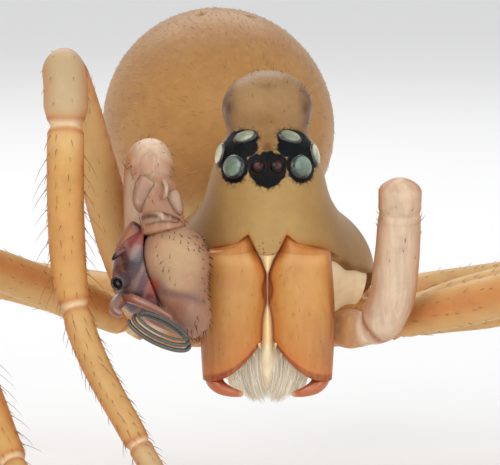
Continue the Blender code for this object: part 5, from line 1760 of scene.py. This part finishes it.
def spinnerets(coat):
    """Three pairs of ringed cones on a low mound at the tail."""
    centre, radius = SPINNERET_MOUND
    outside = np.array(centre) + SPINNERET_AIM
    foot, normal = spot_between(abdomen_field, outside, np.array(ABDOMEN_TAIL[0]))
    across = unit(np.cross(normal, Z_AXIS))
    along = np.cross(normal, across)
    grid, poles = cast_skin(lambda p: np.linalg.norm(p - foot, axis=-1) - radius, foot, GRIDS["mound"], 0.2)
    parts = [closed(grid, ABDOMEN_BROWN, *poles)]
    share = np.linspace(0, 1, 30)
    shade = tinted(ABDOMEN_GOLD, MARGIN_BROWN, bell(share, 0.6, 0.06) + step(share, 0.85, 1.0) * 0.6)
    for row, size, aside in SPINNERET_PAIRS:
        radii = np.interp(share, *np.array(SPINNERET_PROFILE).T) * size
        radii = np.maximum(radii * blunt(share, 0.07, 0.004, 0.008), 0.0006)
        for hand in (-1, 1):
            root = foot + (across * hand * aside + along * row + normal * 0.45) * radius
            tip = root + (normal + across * hand * 0.25) * SPINNERET_LENGTH * size
            line = root + (tip - root) * share[:, None]
            parts.append(closed(rings_about(line, radii, 20, across), shade[:, None]))
    piece("spinneret_skin", joined(parts), coat, "abdomen", "spinnerets")


# Lowest height of the lobe's hairs, then the jaws' first row with hairs and the end of them
LOBE_HAIR_FLOOR = 1.29
JAW_HAIR_ROWS = (5 * JAW_STEPS, -6)


def face_hairs(coat):
    """Short fine bristles over the lobe and down the chelicerae's front."""
    rng = np.random.default_rng(SEEDS["face"])
    tilt = math.pi - np.abs(rng.normal(0, 0.55, HAIR_COUNTS["lobe"]))
    turn = rng.uniform(0, 2 * math.pi, HAIR_COUNTS["lobe"])
    roots = cast(plain_carapace, np.array(CARAPACE_CORE), ways_of(tilt, turn), 1.2)
    roots = roots[roots[:, 2] > LOBE_HAIR_FLOOR]
    normals = normals_at(plain_carapace, roots)
    lie = np.array((0, -0.6, 0.2)) + rng.normal(0, 0.4, roots.shape)
    places = map_place(roots[:, 0] + 0.5, roots[:, 1] + 0.2, (0, 0, 0.5, 1))
    shade = tinted(DARK_BROWN, LOBE_RIM, rng.uniform(0, 1, len(roots)))
    lobe = combed_hairs(roots, normals, lie, rng.uniform(0.010, 0.022, len(roots)), 0.0009,
                        rng.uniform(0.5, 1.1, len(roots)), 0.2, places, shade, collar=0.7)
    count = HAIR_COUNTS["jaws"]
    levels = spline(CHELICERA, JAW_STEPS)
    level = levels[rng.integers(JAW_HAIR_ROWS[0], len(levels) + JAW_HAIR_ROWS[1], count)].T
    share = rng.uniform(0.08, 0.92, count)
    off = np.abs(2 * share - 1)
    forward = (1 - off ** (2 / JAW_CORNER)) ** (JAW_CORNER / 2)
    roots = jaw_point(level, share, forward).T
    hand = np.where(rng.uniform(size=count) < 0.5, -1, 1)
    roots[:, 0] *= hand
    normals = unit(np.stack([(2 * share - 1) * hand * 0.6, -np.ones(count), np.zeros(count)], -1))
    lie = -Z_AXIS + rng.normal(0, 0.25, roots.shape)
    places = map_place(roots[:, 0] + 0.5, roots[:, 2], (0.5, 0, 0.5, 1))
    shade = tinted(RED_BROWN, AMBER, rng.uniform(0, 0.6, count))
    jaws = combed_hairs(roots, normals, lie, rng.uniform(0.012, 0.024, count), 0.0009,
                        rng.uniform(0.3, 0.6, count), 0.2, places, shade, collar=0.8)
    piece("face_bristles", joined([lobe, jaws]), coat, "carapace")


def hair_coat(name, roughness=0.4, **settings):
    """Plain hair, its colour from the root's own tint with a little change along it."""
    coat = Coat(name, specular_ior_level=0.4, **settings)
    coat.paint(coat.laid(coat.tint, (0.55, 0.40, 0.26), coat.noise(0.05), 0.7, 0.3, 0.12))
    coat.rough(roughness + coat.noise(0.03) * 0.1)
    return coat.material


def limb_coat(name, edge, glow, size, **settings):
    """Satin cuticle with fine scales, their size in millimetres, and a soft mottle."""
    coat = flesh(name, glow, edge, 0.6, gloss=0.35, **settings)
    scales = coat.cells(size)
    mottle = coat.noise(0.06, 4.0)
    shade = coat.laid(coat.tint, RED_BROWN, mottle, 0.68, 0.45, 0.14)
    coat.paint(coat.laid(shade, CREAM, coat.noise(0.03, 2.0), 0.72, 0.5, 0.10))
    coat.rough(0.36 + mottle * 0.12)
    coat.bump(scales.fade(0.10, 0.0) * -0.5 + coat.noise(0.014, 2.0) * 0.5, 0.0010, 0.6)
    return coat.material


def palp_coat():
    """Thin folded skin: pale and greyish streaks down the limb over a soft mottle."""
    coat = flesh("palp_cuticle", 0.40, (0.92, 0.78, 0.66), 0.6, gloss=0.35)
    streak = coat.noise(0.016, 3.0, coat.place.stretched((1, 1, 0.16)))
    fold = coat.noise(0.030, 2.0, coat.place.stretched((1, 1, 0.22)))
    shade = coat.laid(coat.tint, SPOON_VIOLET, fold, 0.40, 0.58, 0.14)
    shade = coat.laid(shade, (0.95, 0.90, 0.80), streak, 0.72, 0.50, 0.22)
    coat.paint(coat.laid(shade, RED_BROWN, coat.noise(0.05, 4.0), 0.68, 0.45, 0.12))
    coat.rough(0.34 + fold * 0.14)
    coat.bump(fold * 0.7 + streak * 0.3, 0.0030, 0.6)
    return coat.material


def abdomen_coat():
    """Soft wrinkled skin with a silky sheen and a cloudy pattern."""
    coat = flesh("abdomen_skin_coat", 0.35, (0.90, 0.74, 0.52), 0.5, gloss=0.35,
                 sheen_weight=0.12, sheen_roughness=0.5)
    clouds = coat.noise(0.16, 4.0)
    shade = coat.laid(coat.tint, ABDOMEN_BROWN, clouds, 0.62, 0.42, 0.30)
    coat.paint(coat.laid(shade, ABDOMEN_PALE, coat.cells(0.035, feature="F1"), 0.0, 0.6, 0.18))
    coat.rough(0.44 + clouds * 0.12)
    coat.bump(coat.noise(0.02, 4.0) * 0.6 + coat.cells(0.03) * 0.5, 0.0018, 0.6)
    return coat.material


def dark_coat(name, roughness, size):
    """Hard glossy dark cuticle with fine lines."""
    coat = Coat(name, specular_ior_level=0.6, coat_weight=0.4, coat_roughness=0.1)
    lines = coat.noise(size, 3.0, coat.place.stretched((1, 1, 4)))
    coat.paint(coat.laid(coat.tint, (0.30, 0.12, 0.10), lines, 0.75, 0.5, 0.25))
    coat.rough(roughness + lines * 0.15)
    coat.bump(lines, 0.0012, 0.5)
    return coat.material


def floor():
    """A plain pale floor, out to where the camera sees no end of it."""
    corners = FLOOR_HALF * np.array([(-1, -1, 0), (1, -1, 0), (1, 1, 0), (-1, 1, 0)], float)
    skin = Skin(corners, np.array([[0, 1, 2, 3]]), np.zeros((0, 3), int), (1, 1, 1))
    mesh = mesh_of("floor", skin)
    coat = Coat("pale_floor", roughness=0.9, specular_ior_level=0.1, emission_color=(1.0, 0.99, 0.98),
                emission_strength=0.24)
    coat.paint(coat.mix((0.72, 0.72, 0.72), (0.70, 0.70, 0.70), coat.noise(0.4)))
    mesh.materials.append(coat.material)
    made = bpy.data.objects.new("floor", mesh)
    bpy.context.scene.collection.objects.link(made)


def light(name, place, size, watts, tone):
    """A square soft lamp aimed at LAMP_AIM, its place in millimetres on the maker's frame."""
    lamp = bpy.data.lights.new(name, "AREA")
    lamp.size = size * MM
    lamp.energy = watts
    lamp.color = tone
    obj = bpy.data.objects.new(name, lamp)
    obj.location = Vector((np.array(place) + SHIFT) * MM)
    bpy.context.scene.collection.objects.link(obj)
    aim = Vector((np.array(LAMP_AIM) + SHIFT) * MM)
    obj.rotation_euler = (obj.location - aim).to_track_quat("Z", "Y").to_euler()


def studio():
    """Bright soft surroundings, four large lamps and the camera on the photograph's line of sight."""
    world = bpy.data.worlds.new("studio")
    world.use_nodes = True
    world.node_tree.nodes["Background"].inputs["Color"].default_value = WORLD_TONE
    world.node_tree.nodes["Background"].inputs["Strength"].default_value = WORLD_STRENGTH
    bpy.context.scene.world = world
    for lamp in LAMPS:
        light(*lamp)
    scene = bpy.context.scene
    scene.view_settings.view_transform = "Standard"
    camera = bpy.data.cameras.new("camera")
    camera.lens = CAMERA_LENS
    camera.sensor_width = SENSOR
    camera.clip_start = 0.0005
    camera.clip_end = 10.0
    drop_cos, drop_sin = math.cos(CAMERA_DROP), math.sin(CAMERA_DROP)
    away = CAMERA_LENS / SENSOR * FRAME_WIDTH / PIXELS_PER_MM
    aim_x = (FRAME_WIDTH / 2 - MIDLINE_COLUMN) / PIXELS_PER_MM
    aim_z = (FLOOR_ROW - FRAME_HEIGHT / 2) / PIXELS_PER_MM / drop_cos
    spot = np.array((aim_x, -away * drop_cos, aim_z + away * drop_sin))
    holder = bpy.data.objects.new("camera", camera)
    holder.location = tuple((spot + SHIFT) * MM)
    holder.rotation_euler = (math.pi / 2 - CAMERA_DROP, 0, 0)
    scene.collection.objects.link(holder)
    scene.camera = holder


def main():
    """Makes the coats, then every piece, the floor, the lamps and the camera."""
    bristle = hair_coat("dark_bristle")
    # The pale hair glows a little: painted light that lifts the shade between the brush's strands.
    glowing_pale_hair = hair_coat("glowing_pale_hair", 0.5, emission_color=tuple(BRUSH_CREAM), emission_strength=0.12)
    gold_hair = hair_coat("gold_hair", 0.45)
    limb = limb_coat("leg_cuticle", (0.90, 0.76, 0.56), 0.35, 0.014)
    pink = palp_coat()
    spoon_skin = limb_coat("spoon_cuticle", (0.92, 0.78, 0.66), 0.40, 0.012)
    plate = limb_coat("plate_cuticle", (0.94, 0.80, 0.58), 0.30, 0.016)
    # The soft membranes glow a little: painted light standing in for light that shines through them.
    soft = limb_coat("glowing_soft_membrane", (0.96, 0.88, 0.72), 0.50, 0.020,
                     emission_color=tuple(MEMBRANE), emission_strength=0.20)
    tooth = dark_coat("fang_horn", 0.18, 0.02)
    organ = dark_coat("bulb_cuticle", 0.22, 0.02)
    wire = dark_coat("embolus_cuticle", 0.20, 0.01)
    belly = abdomen_coat()
    carapace()
    eyes()
    jaw = jaw_coat()
    for side in SIDES:
        chelicera(side, jaw)
        fang(side, tooth)
        palp(side, pink)
        palp_hairs(side, bristle)
        for number in COXAE:
            leg(side, number, limb)
            leg_hairs(side, number, bristle)
    underside(plate, soft)
    scopulae(glowing_pale_hair)
    spoon(spoon_skin, bristle)
    bulb(organ)
    embolus(wire)
    abdomen(belly, gold_hair)
    spinnerets(belly)
    face_hairs(bristle)
    floor()
    studio()


main()
